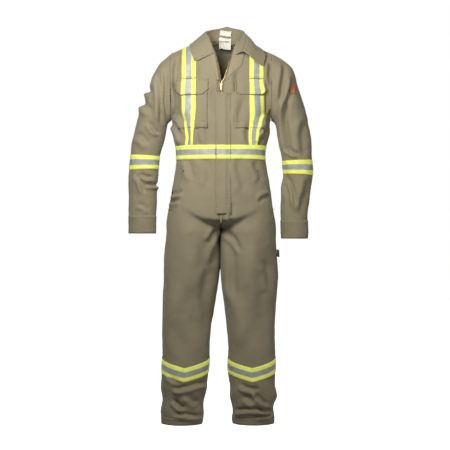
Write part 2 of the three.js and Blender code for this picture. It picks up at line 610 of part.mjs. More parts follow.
// The leaf turns over the top of the stand and falls back onto the shoulders.
const leafReach = (q) => lerp(LEAF_BACK, LEAF_POINT, smooth((Math.abs(q) - 0.3) / 0.6));
const DOME_RADIUS = (FRONT_AT_THROAT + CHEST_BACK_DEPTH) / 2 + 30;
const LEAF_REST = ON_CLOTH + TRIM + LAY + 1;
function leaf(u, v) {
  const q = lerp(-1, 1, u);
  const [x, swing] = neckPlace(q);
  const heading = Math.sign(q) * Math.min(Math.abs(q) * Math.PI, Math.PI / 2 + 0.1);
  const reach = leafReach(q) * v;
  const ground = (across, along) => shoulderSweep(x + across, swing + along);
  const [across, along] = [reach * Math.sin(heading), (reach * Math.cos(heading)) / DOME_RADIUS];
  const step = 1e-3;
  const normal = ground(across + step, along).sub(ground(across - step, along))
    .cross(ground(across, along + step).sub(ground(across, along - step))).normalize();
  if (normal.z < 0) normal.negate();
  const fold = 1 - smooth(v);
  const top = STAND_BASE + standHeight(q);
  const p = ground(across, along).addScaledVector(outward(q), (2 + CLOTH + 2 * GAP) * fold);
  p.addScaledVector(normal, LEAF_REST * (1 - fold));
  return p.setZ(p.z + top * fold);
}
add('collar_leaf', sheet(leaf, neckAxis, COLLAR_COLUMNS, 5, 0, CLOTH), KHAKI);

// ---------- neck labels and hanger loop ----------
const LABEL_HALF = 29;
function backNeck(low, high, half) {
  return (u, v) => {
    const q = lerp(-half, half, u) / (NECK_HALF * Math.PI);
    const p = neckLine(q).addScaledVector(outward(q), -1 - GAP);
    p.z += STAND_BASE + lerp(low, high, v);
    return p;
  };
}
add('neck_label', sheet(backNeck(4, 26, LABEL_HALF), neckAxis, 4, 2, -1, 0), LABEL);
const innerBack = (u, v) => trunkAt(lerp(-LABEL_HALF, LABEL_HALF, u), 1, lerp(NECK_Z - 62, NECK_Z - 8, v));
add('care_label', sheet(innerBack, trunkAxis, 4, 5, -2 * LAY - 1, -2 * LAY), LABEL);

// The loop is a flat folded strip that stands off the back of the neck, its ends on the stand.
const LOOP = { span: 64, width: 7, wall: 1.6, reach: 21 };
const loopEnd = Math.asin((LOOP.span - LOOP.width) / 2 / NECK_HALF) / Math.PI;
const loopSeat = neckLine(loopEnd).addScaledVector(outward(loopEnd), -1 - GAP);
const loopOutline = new THREE.Shape();
loopOutline.moveTo(-LOOP.span / 2, 0);
loopOutline.lineTo(LOOP.span / 2, 0);
loopOutline.lineTo(LOOP.span / 2, LOOP.reach - 2);
loopOutline.lineTo(LOOP.span / 2 - LOOP.width, LOOP.reach);
loopOutline.lineTo(LOOP.span / 2 - LOOP.width, LOOP.width);
loopOutline.lineTo(LOOP.width - LOOP.span / 2, LOOP.width);
loopOutline.lineTo(LOOP.width - LOOP.span / 2, LOOP.reach);
loopOutline.lineTo(-LOOP.span / 2, LOOP.reach - 2);
loopOutline.closePath();
const loop = new THREE.ExtrudeGeometry(loopOutline, { depth: LOOP.wall, bevelEnabled: false });
const LOOP_Z = loopSeat.z + STAND_BASE + 1;
const LOOP_Y = loopSeat.y - LOOP.reach;
add('hanger_loop', loop, KHAKI_DARK).position.set(0, LOOP_Y, LOOP_Z);

// The origin is the middle of the loop's underside.
garment.position.set(0, -LOOP_Y - LOOP.width / 2, -LOOP_Z);
export default garment;
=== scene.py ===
# %% [markdown]
# # A hi-vis work coverall, sewn in Blender
# The coverall hangs as if worn by nobody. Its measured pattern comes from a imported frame, so every panel
# is first laid on the frame's own curves and only then folded. A garment could also be modelled by hand
# from a human figure, but a pattern laid on known curves keeps every panel where its hinge expects it.

# %% Load the frame
import math
import bmesh
import bpy
import numpy as np
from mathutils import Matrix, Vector


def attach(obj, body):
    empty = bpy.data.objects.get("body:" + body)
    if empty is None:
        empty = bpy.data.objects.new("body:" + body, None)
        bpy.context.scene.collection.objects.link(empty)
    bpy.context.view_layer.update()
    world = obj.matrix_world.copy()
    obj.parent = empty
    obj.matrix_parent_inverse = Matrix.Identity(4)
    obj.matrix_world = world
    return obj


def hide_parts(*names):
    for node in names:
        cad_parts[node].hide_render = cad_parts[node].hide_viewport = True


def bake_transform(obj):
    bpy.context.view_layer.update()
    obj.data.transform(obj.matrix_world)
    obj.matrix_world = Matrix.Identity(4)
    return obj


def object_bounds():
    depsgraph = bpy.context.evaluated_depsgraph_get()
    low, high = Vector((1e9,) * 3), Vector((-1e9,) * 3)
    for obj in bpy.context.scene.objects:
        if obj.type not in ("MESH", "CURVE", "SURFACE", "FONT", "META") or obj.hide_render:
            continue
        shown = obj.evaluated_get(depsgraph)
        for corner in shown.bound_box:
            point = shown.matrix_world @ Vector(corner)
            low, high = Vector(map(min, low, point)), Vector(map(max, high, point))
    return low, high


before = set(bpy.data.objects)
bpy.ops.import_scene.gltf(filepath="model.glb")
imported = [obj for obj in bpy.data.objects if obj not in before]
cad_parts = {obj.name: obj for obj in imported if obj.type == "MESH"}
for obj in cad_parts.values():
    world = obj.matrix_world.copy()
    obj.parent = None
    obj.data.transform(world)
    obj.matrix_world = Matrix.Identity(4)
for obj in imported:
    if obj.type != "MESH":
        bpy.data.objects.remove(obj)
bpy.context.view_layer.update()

# %% [markdown]
# ## The measures of the pattern
# A tailor works in millimetres from the floor up, so the pattern does too. The origin of the frame is the
# underside of the hanger loop, and one function carries a tailor's point to that frame in metres.

# %% Driving measures in millimetres
MM = 0.001
LOOP_Y, LOOP_Z = 38.859, 1583.515          # the hanger loop in the tailor's measures
HEM_Z, CROTCH_Z, FORK_Z, WAIST_Z = 3, 790, 838, 1115
ARMPIT_Z, THROAT_Z, SHOULDER_TIP_Z, NECK_Z = 1245, 1400, 1529, 1580
ARMHOLE_X, NECK_HALF, NECK_BACK_Y = 205, 77, 62
HIP_HALF, WAIST_HALF, CHEST_HALF = 224, 183, 248
EDGE_X = 12                                # half the gap that the zip fills
SQUARENESS = 2.5                           # exponent of the trunk's cross section
CLOTH = 1.5                                # wall of one panel
TRIM_WIDTH = 58
RIGHT, LEFT = -1, 1                        # the wearer's sides
FRONT, BACK = -1, 1
SEAM_X = {FRONT: EDGE_X - 7, BACK: 0.3}       # where a trouser panel starts beside the centre line
SIDES = {"right": RIGHT, "left": LEFT}


def lerp(a, b, t):
    return a + (b - a) * t


def smooth(t):
    t = np.clip(t, 0, 1)
    return t * t * (3 - 2 * t)


def to_frame(points):
    return (np.asarray(points, float) - np.array([0, LOOP_Y, LOOP_Z])) * MM


def along(*stations):
    """A smooth curve through stations of (position, value)."""
    at, value = np.array(stations, float).T
    slope = np.gradient(value, at)

    def curve(t):
        t = np.clip(t, at[0], at[-1])
        i = np.clip(np.searchsorted(at, t, side="right") - 1, 0, len(at) - 2)
        h = at[i + 1] - at[i]
        f = (t - at[i]) / h
        ends = value[i] * (2 * f**3 - 3 * f**2 + 1) + value[i + 1] * (3 * f**2 - 2 * f**3)
        return ends + h * (slope[i] * (f**3 - 2 * f**2 + f) + slope[i + 1] * (f**3 - f**2))
    return curve


print("the garment stands", NECK_Z - HEM_Z, "mm from hem to neck")

# %% [markdown]
# ## The trunk's curve
# Cut the trunk at any height and it is a rounded rectangle, wider than deep. Over the shoulders that
# outline shrinks to the shoulder seam. Next to each armhole the front and back swell to the sleeve's
# own ring, so cloth runs on from trunk to sleeve.

# %% Trunk
hip_drop = WAIST_Z - CROTCH_Z
trunk_half = along(
    (CROTCH_Z, HIP_HALF), (CROTCH_Z + 0.45 * hip_drop, lerp(HIP_HALF, WAIST_HALF, 0.38)),
    (CROTCH_Z + 0.8 * hip_drop, lerp(HIP_HALF, WAIST_HALF, 0.85)), (WAIST_Z, WAIST_HALF),
    (lerp(WAIST_Z, ARMPIT_Z, 0.65), lerp(WAIST_HALF, ARMHOLE_X, 0.8)), (ARMPIT_Z, ARMHOLE_X - 3),
    (lerp(ARMPIT_Z, THROAT_Z, 0.5), lerp(ARMHOLE_X, CHEST_HALF, 0.8)), (THROAT_Z, CHEST_HALF))
back_depth = along((CROTCH_Z, 128), (CROTCH_Z + 0.4 * hip_drop, 128), (WAIST_Z, 104),
                   (ARMPIT_Z, 123.5), (THROAT_Z, 130))
RING_Z, RING_HALF, RING_DEPTH = 1390, 139, 84    # the armhole ring


def trunk_depth(face, z):
    return lerp(146, 111, (z - FORK_Z) / (THROAT_Z - FORK_Z)) if face == FRONT else back_depth(z)


def shoulder_z(x):
    return lerp(NECK_Z, SHOULDER_TIP_Z, (np.abs(x) - NECK_HALF) / (ARMHOLE_X - NECK_HALF))


def turn_at(x, z):
    return np.arcsin(np.clip((np.abs(x) / trunk_half(z)) ** (SQUARENESS / 2), 0, 1))


def trunk_x(turn, z):
    return trunk_half(z) * np.sin(turn) ** (2 / SQUARENESS)


def over_shoulder(x, swing):
    """Height over the shoulder: swing is 0 at the throat and a quarter turn on the ridge."""
    return THROAT_Z + (shoulder_z(x) - THROAT_Z) * np.sin(swing)


def trunk_y(face, x, z):
    """Depth of the front or back at x and z, over the shoulders too."""
    low = np.minimum(z, THROAT_Z)
    y = trunk_depth(face, low) * np.maximum(0, np.cos(turn_at(x, low))) ** (2 / SQUARENESS)
    over = np.clip((z - THROAT_Z) / (shoulder_z(x) - THROAT_Z), 0, 1)
    y = y * np.sqrt(1 - over**2)
    ring = RING_DEPTH * np.sqrt(np.clip(1 - ((z - RING_Z) / RING_HALF) ** 2, 0, 1))
    near_sleeve = smooth((np.abs(x) - 140) / 65) * smooth((z - ARMPIT_Z) / 30)
    return face * lerp(y, ring, near_sleeve)


def throat_depth(face, x):
    return np.abs(trunk_y(face, np.abs(x), THROAT_Z + 0 * x))


BODY_SHARE = 0.6                           # share of an upper panel below the throat
NECK_SWEEP = {RIGHT: 1.35, LEFT: 0.58}     # the left front falls open wider than the right


def neck_edge(rise, side):
    sweep = np.where(np.asarray(side) < 0, NECK_SWEEP[RIGHT], NECK_SWEEP[LEFT])
    return lerp(EDGE_X, NECK_HALF, np.clip(rise, 0, 1) ** sweep)


def neck_hollow(x):
    y = NECK_BACK_Y * np.sqrt(np.clip(1 - (x / NECK_HALF) ** 2, 0, 1))
    inside = 2 / np.pi * np.arccos(np.clip(y / throat_depth(BACK, x), 0, 1))
    return np.where(np.abs(x) >= NECK_HALF, 1, inside)


def upper(side, face):
    """Point of an upper panel: u from the centre line to the side, v from the waist to the shoulder."""
    def place(u, v):
        z = lerp(WAIST_Z, THROAT_Z, np.clip(v / BODY_SHARE, 0, 1))
        rise = np.clip((v - BODY_SHARE) / (1 - BODY_SHARE), 0, 1)
        inner = turn_at(neck_edge(rise, side), z) if face == FRONT else 0
        outer = np.where(z < ARMPIT_Z, np.pi / 2, turn_at(ARMHOLE_X, z))
        turn = lerp(inner, outer, u)
        x = trunk_x(turn, z)
        if face == BACK:
            rise = rise * neck_hollow(x)
        z = np.where(rise > 0, over_shoulder(x, rise * np.pi / 2), z)
        return np.stack([side * x, trunk_y(face, x, z), z], -1)
    return place


def upper_spot(side, face, x, z):
    """The u and v of an upper panel at x and z."""
    x = np.abs(x)
    low = np.minimum(z, THROAT_Z)
    over = np.clip((z - THROAT_Z) / (shoulder_z(x) - THROAT_Z), 0, 1)
    rise = 2 / np.pi * np.arcsin(over)
    if face == BACK:
        rise = rise / np.maximum(neck_hollow(x), 0.05)
    inner = turn_at(neck_edge(rise, side), low) if face == FRONT else 0
    outer = np.where(low < ARMPIT_Z, np.pi / 2, turn_at(ARMHOLE_X, low))
    u = (turn_at(x, low) - inner) / (outer - inner)
    below = BODY_SHARE * (low - WAIST_Z) / (THROAT_Z - WAIST_Z)
    return u, np.where(over > 0, BODY_SHARE + (1 - BODY_SHARE) * rise, below)


# %% [markdown]
# ## Trousers and sleeves
# Below the fork each half of the trunk's outline turns into the oval of a leg, so one panel runs from
# waist to hem as it is cut. A sleeve is a tube of ovals between an outer and an inner line.

# %% Trousers
leg_centre = along((0, 148), (200, 139), (450, 129), (640, 118.5), (CROTCH_Z, 112.5))
leg_half = along((0, 84), (100, 90), (200, 97), (350, 98), (500, 108), (640, 117.5), (CROTCH_Z, 114))
leg_front = along((0, 78), (200, 84), (450, 92), (CROTCH_Z, 126))
leg_back = along((0, 78), (200, 88), (450, 98), (CROTCH_Z, 122))
HEM_LEAN = -15                             # both hems hang a little to the wearer's right


def leg_x(side, z):
    return side * leg_centre(z) + HEM_LEAN * (1 - z / CROTCH_Z)


def leg_point(side, face, turn, z):
    depth = leg_front(z) if face == FRONT else leg_back(z)
    x = leg_x(side, z) + side * leg_half(z) * np.sin(turn)
    return np.stack([x, face * depth * np.cos(turn), z + 0 * x], -1)


def trousers(side, face):
    """u from the centre or inside leg seam to the side seam, v from the hem to the waist."""
    def place(u, v):
        z = lerp(HEM_Z, WAIST_Z, v)
        high = np.maximum(z, CROTCH_Z)
        turn = lerp(turn_at(SEAM_X[face], high), np.pi / 2, u)
        y = face * trunk_depth(face, high) * np.maximum(0, np.cos(turn)) ** (2 / SQUARENESS)
        hip = np.stack([side * trunk_x(turn, high), y, high], -1)
        leg = leg_point(side, face, lerp(-np.pi / 2, np.pi / 2, u), np.minimum(z, CROTCH_Z))
        start = FORK_Z + lerp(8, 70, smooth(u / 0.6))
        points = lerp(hip, leg, smooth((start - z) / (start - CROTCH_Z))[..., None])
        points[..., 2] = z
        return points
    return place


# %% Sleeves
CUFF_X = {RIGHT: 326, LEFT: 302}
CUFF_Z = {RIGHT: 785, LEFT: 764}
CUFF_DEPTH = 74
ARM_SPREAD = {RIGHT: 2, LEFT: 24}          # how far the upper arm stands out
SLEEVE_TRIM_Z = {RIGHT: 1077, LEFT: 1057}


def sleeve_lines(side):
    """Curves of outer x and z, inner x and z, and depth, over the share of the sleeve's length."""
    end = CUFF_Z[side] + CUFF_DEPTH
    middle = lerp(end, ARMPIT_Z, 0.55)
    spread, cuff_x, cuff_z = ARM_SPREAD[side], CUFF_X[side], CUFF_Z[side]
    rows = [(0, 205.3, SHOULDER_TIP_Z, 205.3, ARMPIT_Z + 6, 84),
            (0.065, 254 + spread, 1483, 215, 1244, 86), (0.157, 297 + spread, 1384, 222, 1234, 80),
            (0.29, 345 + 0.5 * spread, 1257, 229, 1199, 68), (0.546, 377, middle, 255, middle, 61),
            (0.883, cuff_x + 57, end, cuff_x - 57, end, 52),
            (1, cuff_x + 56, cuff_z, cuff_x - 56, cuff_z, 50)]
    return [along(*[(row[0], row[i]) for row in rows]) for i in range(1, 6)]


def sleeve(side):
    """u once round from the outer line by the back to the front, v from the armhole to the wrist."""
    outer_x, outer_z, inner_x, inner_z, depth = sleeve_lines(side)

    def place(u, v):
        share = 0.5 + 0.5 * np.cos(2 * np.pi * u)
        return np.stack([side * lerp(inner_x(v), outer_x(v), share), depth(v) * np.sin(2 * np.pi * u),
                         lerp(inner_z(v), outer_z(v), share)], -1)
    return place


def sleeve_share(side, z):
    """Share of the sleeve's length where its middle line has height z."""
    _, outer_z, _, inner_z, _ = sleeve_lines(side)
    shares = np.linspace(0, 1, 400)
    return float(np.interp(-z, -(outer_z(shares) + inner_z(shares)) / 2, shares))


print("sleeve tape at share", round(sleeve_share(RIGHT, SLEEVE_TRIM_Z[RIGHT]), 3))

# %% [markdown]
# ## Cloth that has been worn
# A panel is a fine grid laid on its curve. Each fold is a ridge with a valley beside it, along a line seen
# from the front, and a few crossing waves make the cloth uneven. Everything sewn on a panel is later laid
# on this folded skin, so tapes and pockets follow every fold.

# %% Waves and folds
def grid(columns, rows):
    v, u = np.meshgrid(np.linspace(0, 1, rows + 1), np.linspace(0, 1, columns + 1), indexing="ij")
    return u, v


def waves(points, length, seed, count=9):
    """Smooth unevenness from -1 to 1, made of crossing waves of about the given length."""
    random = np.random.default_rng(seed)
    total = np.zeros(points.shape[:-1])
    for _ in range(count):
        way = random.normal(size=3)
        way *= 2 * np.pi / (length * random.uniform(0.7, 1.6) * np.linalg.norm(way))
        warp = 0.8 * np.sin(points @ (way[::-1] * 0.7) + random.uniform(0, 6.3))
        total += np.sin(points @ way + warp + random.uniform(0, 6.3))
    return total / count**0.5 / 1.5


def fold(points, x, z, end_x, end_z, width, height):
    """A ridge and a valley along the line from (x, z) to (end_x, end_z), seen from the front."""
    start, end = np.array((x, z), float), np.array((end_x, end_z), float)
    length = np.linalg.norm(end - start)
    way = (end - start) / length
    offset = points[..., [0, 2]] - start
    run = (offset @ way) / length
    across = (offset @ np.array([way[1], -way[0]])) / width
    across = across + 0.35 * np.sin(run * 5 + start[0])
    fade = smooth((run + 0.18) / 0.35) * smooth((1.18 - run) / 0.35)
    return height * fade * across * np.exp(-0.5 * across**2) * 1.65


FOLD_DEPTH = 2.1                           # every fold is cut this much deeper than its table says
WAVE_LENGTH, CREASE_LENGTH = 150, 46


class Skin:
    """A folded sheet: points and outward normals on a grid, to be sampled at any u and v."""

    def __init__(self, place, columns, rows, outward, uneven, seed, folds, crumple=None):
        u, v = grid(columns, rows)
        self.columns, self.rows, self.outward = columns, rows, outward
        self.points = place(u, v)
        self.closed = bool(np.allclose(self.points[:, 0], self.points[:, -1]))
        self.find_normals()
        height = uneven * waves(self.points, WAVE_LENGTH, seed)
        height = height + 0.35 * uneven * waves(self.points, CREASE_LENGTH, seed + 50)
        for line in folds:
            height = height + FOLD_DEPTH * fold(self.points, *line)
        if crumple is not None:
            height = height + crumple(self.points, u, v)
        self.points = self.points + self.normals * height[..., None]
        self.find_normals()

    def find_normals(self):
        p = self.points
        across = np.gradient(p, axis=1)
        if self.closed:
            across[:, 0] = across[:, -1] = (p[:, 1] - p[:, -2]) / 2
        normal = np.cross(across, np.gradient(p, axis=0))
        normal /= np.maximum(np.linalg.norm(normal, axis=-1, keepdims=True), 1e-9)
        out = self.outward if self.outward is not None else p - p.mean(axis=1, keepdims=True)
        self.normals = normal * np.sign(np.sum(normal * out))

    def at(self, u, v, lift=0.0):
        x = np.clip(np.asarray(u, float), 0, 1) * self.columns
        y = np.clip(np.asarray(v, float), 0, 1) * self.rows
        x, y = np.broadcast_arrays(x, y)
        i = np.minimum(x.astype(int), self.columns - 1)
        j = np.minimum(y.astype(int), self.rows - 1)
        fx, fy = (x - i)[..., None], (y - j)[..., None]

        def mix(a):
            return lerp(lerp(a[j, i], a[j, i + 1], fx), lerp(a[j + 1, i], a[j + 1, i + 1], fx), fy)
        normal = mix(self.normals)
        normal /= np.maximum(np.linalg.norm(normal, axis=-1, keepdims=True), 1e-9)
        return mix(self.points) + normal * np.asarray(lift, float)[..., None]


# %% [markdown]
# ## Cutting a piece of cloth
# Blender's grid operator gives the flat sheet, and its corners are then moved onto the skin. The sheet
# keeps its own measure in metres as a UV map for weave and stripes, and two attributes say how far each
# point is from a stitched edge and how far along that edge it is.

# %% Cutting
def linked(name, maker):
    """A new object in the scene with the bmesh as its mesh."""
    mesh = bpy.data.meshes.new(name)
    maker.to_mesh(mesh)
    maker.free()
    made = bpy.data.objects.new(name, mesh)
    bpy.context.scene.collection.objects.link(made)
    return made


def cut_cloth(name, points, wall, stitched, outward, closed, stripes):
    """A mesh of cloth through a grid of points in millimetres; stitched names edges: l, r, b, t."""
    points = np.asarray(points, float)
    rows, columns = points.shape[0] - 1, points.shape[1] - 1
    steps = np.linalg.norm(np.diff(points, axis=1), axis=-1)
    rises = np.linalg.norm(np.diff(points, axis=0), axis=-1).mean(axis=1)
    across = np.concatenate([np.zeros((rows + 1, 1)), np.cumsum(steps, axis=1)], 1)
    up = np.concatenate([[0], np.cumsum(rises)])[:, None] + 0 * across
    width = across[:, -1:] + 0 * across
    gaps = {"l": (across, up), "r": (width - across, up), "b": (up, across), "t": (up[-1:] - up, across)}
    seam, run = np.full(across.shape, 1e3), up.copy()
    for edge in stitched:
        gap, length = gaps[edge]
        nearer = gap < seam
        seam, run = np.where(nearer, gap, seam), np.where(nearer, length, run)
    if stripes:
        across = across / np.maximum(width, 1e-6) * TRIM_WIDTH
    place = to_frame(points)
    mesh_maker = bmesh.new()
    bmesh.ops.create_grid(mesh_maker, x_segments=columns, y_segments=rows, size=1, calc_uvs=False)
    uv_map = mesh_maker.loops.layers.uv.new("UVMap")
    seam_layer = mesh_maker.verts.layers.float.new("seam")
    run_layer = mesh_maker.verts.layers.float.new("run")
    spot = {}
    for vert in mesh_maker.verts:
        i, j = round((vert.co.x + 1) / 2 * columns), round((vert.co.y + 1) / 2 * rows)
        spot[vert] = (j, i)
        vert[seam_layer], vert[run_layer] = seam[j, i] * MM, run[j, i] * MM
    for face in mesh_maker.faces:
        face.smooth = True
        for loop in face.loops:
            j, i = spot[loop.vert]
            loop[uv_map].uv = (across[j, i] * MM, up[j, i] * MM)
    for vert, (j, i) in spot.items():
        vert.co = place[j, i]
    if closed:
        ends = [vert for vert, (j, i) in spot.items() if i in (0, columns)]
        bmesh.ops.remove_doubles(mesh_maker, verts=ends, dist=1e-5)
    mesh_maker.normal_update()
    middle = place.mean(axis=1)
    faces = list(mesh_maker.faces)
    agree = 0.0
    for face in faces[:: max(1, len(faces) // 300)]:
        centre = face.calc_center_median()
        if outward is not None:
            agree += face.normal.dot(Vector(outward))
        else:
            ring = middle[np.argmin(np.abs(middle[:, 2] - centre.z))]
            agree += face.normal.dot(centre - Vector(ring))
    if agree < 0:
        bmesh.ops.reverse_faces(mesh_maker, faces=faces)
    piece = linked(name, mesh_maker)
    solidify = piece.modifiers.new("wall", "SOLIDIFY")
    solidify.thickness = wall * MM
    solidify.offset = -1
    solidify.use_even_offset = False
    return piece


SMALLEST_SHEET = 0.01                      # a narrower strip is a thread or a bar, not a sheet


def finish_piece(piece, material, slot, body=None, bend=None, replaces=(), flat=None, area=None):
    """Gives a piece its material, attaches it to its body or, where it bends, only bakes its transform, and
    hides the parts it replaces; the bend's hinge, the slot and the cut size are not used.
    """
    piece.data.materials.append(material)
    if bend:
        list(bend[:2])
        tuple(bend[2])
        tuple(bend[3])
        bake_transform(piece)
    else:
        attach(piece, body)
    if replaces:
        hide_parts(*replaces)
    flat and min(flat) >= SMALLEST_SHEET


def cut_size(points):
    """Width, length and area of a grid of points as it was cut, in metres."""
    steps = np.linalg.norm(np.diff(points, axis=1), axis=-1).sum(axis=1)
    lengths = np.linalg.norm(np.diff(points, axis=0), axis=-1).sum(axis=0)
    a, b = np.diff(points, axis=1)[:-1], np.diff(points, axis=0)[:, :-1]
    area = np.linalg.norm(np.cross(a, b), axis=-1).sum()
    width, length = steps.max(), lengths.max()
    flat = (round(width * MM, 4), round(length * MM, 4))
    return flat, min(round(area * MM * MM, 5), width * length * MM * MM)


def sewn(name, points, cloth, wall=1.2, stitched="lrbt", outward=(0, -1, 0), turned=False, fit=False,
         closed=False, **kind):
    """Cuts and finishes a piece; cloth is its material and slot, and turned swaps the ways of its map."""
    piece = cut_cloth(name, points, wall, stitched, outward, closed, fit)
    if turned:
        for loop in piece.data.uv_layers["UVMap"].data:
            loop.uv = (loop.uv[1], loop.uv[0])
    flat, area = cut_size(points)
    finish_piece(piece, *cloth, flat=flat, area=area, **kind)


# %% [markdown]
# ## Shader arithmetic
# Nodes are wired by Python expressions: a Wire stands for one socket, and adding or multiplying wires
# adds the Math nodes. That keeps a weave readable as a formula.

# %% Wires
class Wire:
    def __init__(self, finish, socket):
        self.finish, self.socket = finish, socket

    def math(self, operation, *others):
        values = [self] + list(others)
        return self.finish.node("ShaderNodeMath", {"operation": operation}, dict(enumerate(values)))

    def __add__(self, other):
        return self.math("ADD", other)

    def __sub__(self, other):
        return self.math("SUBTRACT", other)

    def __mul__(self, other):
        return self.math("MULTIPLY", other)

    def __rsub__(self, other):
        return self.finish.node("ShaderNodeMath", {"operation": "SUBTRACT"}, {0: other, 1: self})

    __radd__ = __add__
    __rmul__ = __mul__

    def ripple(self, period):
        return (self * (2 * math.pi / period)).math("SINE")


class Finish:
    """A material whose nodes come from one method."""

    def __init__(self, name, **constants):
        self.material = bpy.data.materials.new(name)
        self.material.use_nodes = True
        self.tree = self.material.node_tree
        self.shader = self.tree.nodes["Principled BSDF"]
        for key, value in constants.items():
            self.shader.inputs[key.replace("_", " ")].default_value = value

    def put(self, socket, value):
        if isinstance(value, Wire):
            self.tree.links.new(value.socket, socket)
        else:
            socket.default_value = value

    def node(self, kind, settings=None, values=None, out=0):
        made = self.tree.nodes.new(kind)
        for key, value in (settings or {}).items():
            setattr(made, key, value)
        for key, value in (values or {}).items():
            self.put(made.inputs[key], value)
        return Wire(self, made.outputs[out])

    def set(self, name, value):
        self.put(self.shader.inputs[name], value)

    def own(self, name):
        return self.node("ShaderNodeAttribute", {"attribute_name": name}, out="Fac")

    def noise(self, scale, detail):
        place = self.node("ShaderNodeTexCoord", out="Object")
        return self.node("ShaderNodeTexNoise", values={"Vector": place, "Scale": scale, "Detail": detail})

    def ease(self, value, low, high, start=0.0, stop=1.0):
        return self.node("ShaderNodeMapRange", {"interpolation_type": "SMOOTHSTEP"},
                         {0: value, 1: low, 2: high, 3: start, 4: stop})

    def fade(self, value, low, high):
        return self.ease(value, low, high, 1.0, 0.0)

    def colours(self, a, b, factor):
        return self.node("ShaderNodeMix", {"data_type": "RGBA"}, {0: factor, 6: a, 7: b}, out=2)

    def uv(self):
        plane = self.node("ShaderNodeUVMap", {"uv_map": "UVMap"})
        return [self.node("ShaderNodeSeparateXYZ", values={0: plane}, out=i) for i in (0, 1)]

    def bump(self, height, strength, distance, under=None):
        values = {"Height": height, "Strength": strength, "Distance": distance}
        if under:
            values["Normal"] = under
        return self.node("ShaderNodeBump", values=values)


def shade(colour, share):
    return tuple(channel * share for channel in colour[:3]) + (1.0,)


# %% [markdown]
# ## The khaki twill
# Twill is a weave of fine diagonal ribs. Under it the colour drifts a little, paler where a seam's edge
# has rubbed. Every stitched edge carries two rows of thread, with dimples between the stitches and the
# slight pucker that a felled seam draws up.

# %% Cloth finishes
KHAKI = (0.236, 0.202, 0.125, 1)
STITCH, PUCKER = 0.0034, 0.013             # metres from one stitch, or one pucker, to the next
RIB, YARN = 0.0014, 0.0009                 # metres from one rib, or one yarn, to the next
NEAR_ROW, FAR_ROW = 0.0022, 0.0088         # the two rows of thread, in metres from the edge


def twill(name, colour, coarse=1.0):
    finish = Finish(name, Specular_IOR_Level=0.18, Sheen_Weight=0.12, Sheen_Roughness=0.5)
    across, up = finish.uv()
    weave = (across + up).ripple(RIB * coarse) * 0.7 + (across - up).ripple(YARN * coarse) * 0.3
    drift, mottle, lint = finish.noise(5.0, 4), finish.noise(60.0, 3), finish.noise(900.0, 2)
    seam, run = finish.own("seam"), finish.own("run")
    near, far = (seam - NEAR_ROW).math("ABSOLUTE"), (seam - FAR_ROW).math("ABSOLUTE")
    row = finish.fade(near.math("MINIMUM", far), 0.0004, 0.0010)
    stitch = row * finish.ease(run.ripple(STITCH), -0.5, -0.1)
    fell = finish.fade(seam, 0.0095, 0.0120)
    base = finish.colours(shade(colour, 0.86), shade(colour, 1.13), drift)
    base = finish.colours(base, shade(colour, 1.24), finish.ease(mottle, 0.45, 0.8) * 0.22)
    base = finish.colours(base, shade(colour, 0.72), finish.fade(weave, -0.9, 0.4) * 0.22)
    base = finish.colours(base, shade(colour, 0.80), fell * 0.25)
    base = finish.colours(base, shade(colour, 1.3), finish.fade(seam, 0.0, 0.0022) * 0.35)
    base = finish.colours(base, shade(colour, 1.25), stitch * 0.75)
    pucker = run.ripple(PUCKER) * fell
    relief = (weave * 0.00006 + lint * 0.00005 + fell * 0.0005 + stitch * 0.0003
              + pucker * 0.00030 - row * 0.0002)
    finish.set("Base Color", base)
    finish.set("Roughness", finish.ease(drift + mottle, 0.6, 1.4, 0.86, 0.95))
    finish.set("Normal", finish.bump(relief, 0.9, 1.0, finish.bump(finish.noise(38.0, 3), 0.25, 0.004)))
    return finish.material


PLAIN = twill("khaki_twill", KHAKI), "khaki_cloth"
DOUBLED = twill("khaki_twill_doubled", shade(KHAKI, 0.95)), "doubled_cloth"
FACING = twill("facing_twill", shade(KHAKI, 1.08), coarse=0.8), "khaki_cloth"

# %% [markdown]
# ## Trim, labels and metal
# The reflective trim is a yellow webbing with a silver band of tiny glass beads down its middle. Its map
# runs across the width in metres, so the stripes keep their real width round every curve.

# %% Trim finish
SILVER_HALF = 0.0112                       # metres
TRIM_STITCH, TRIM_RIB = 0.0030, 0.0016     # metres from one to the next


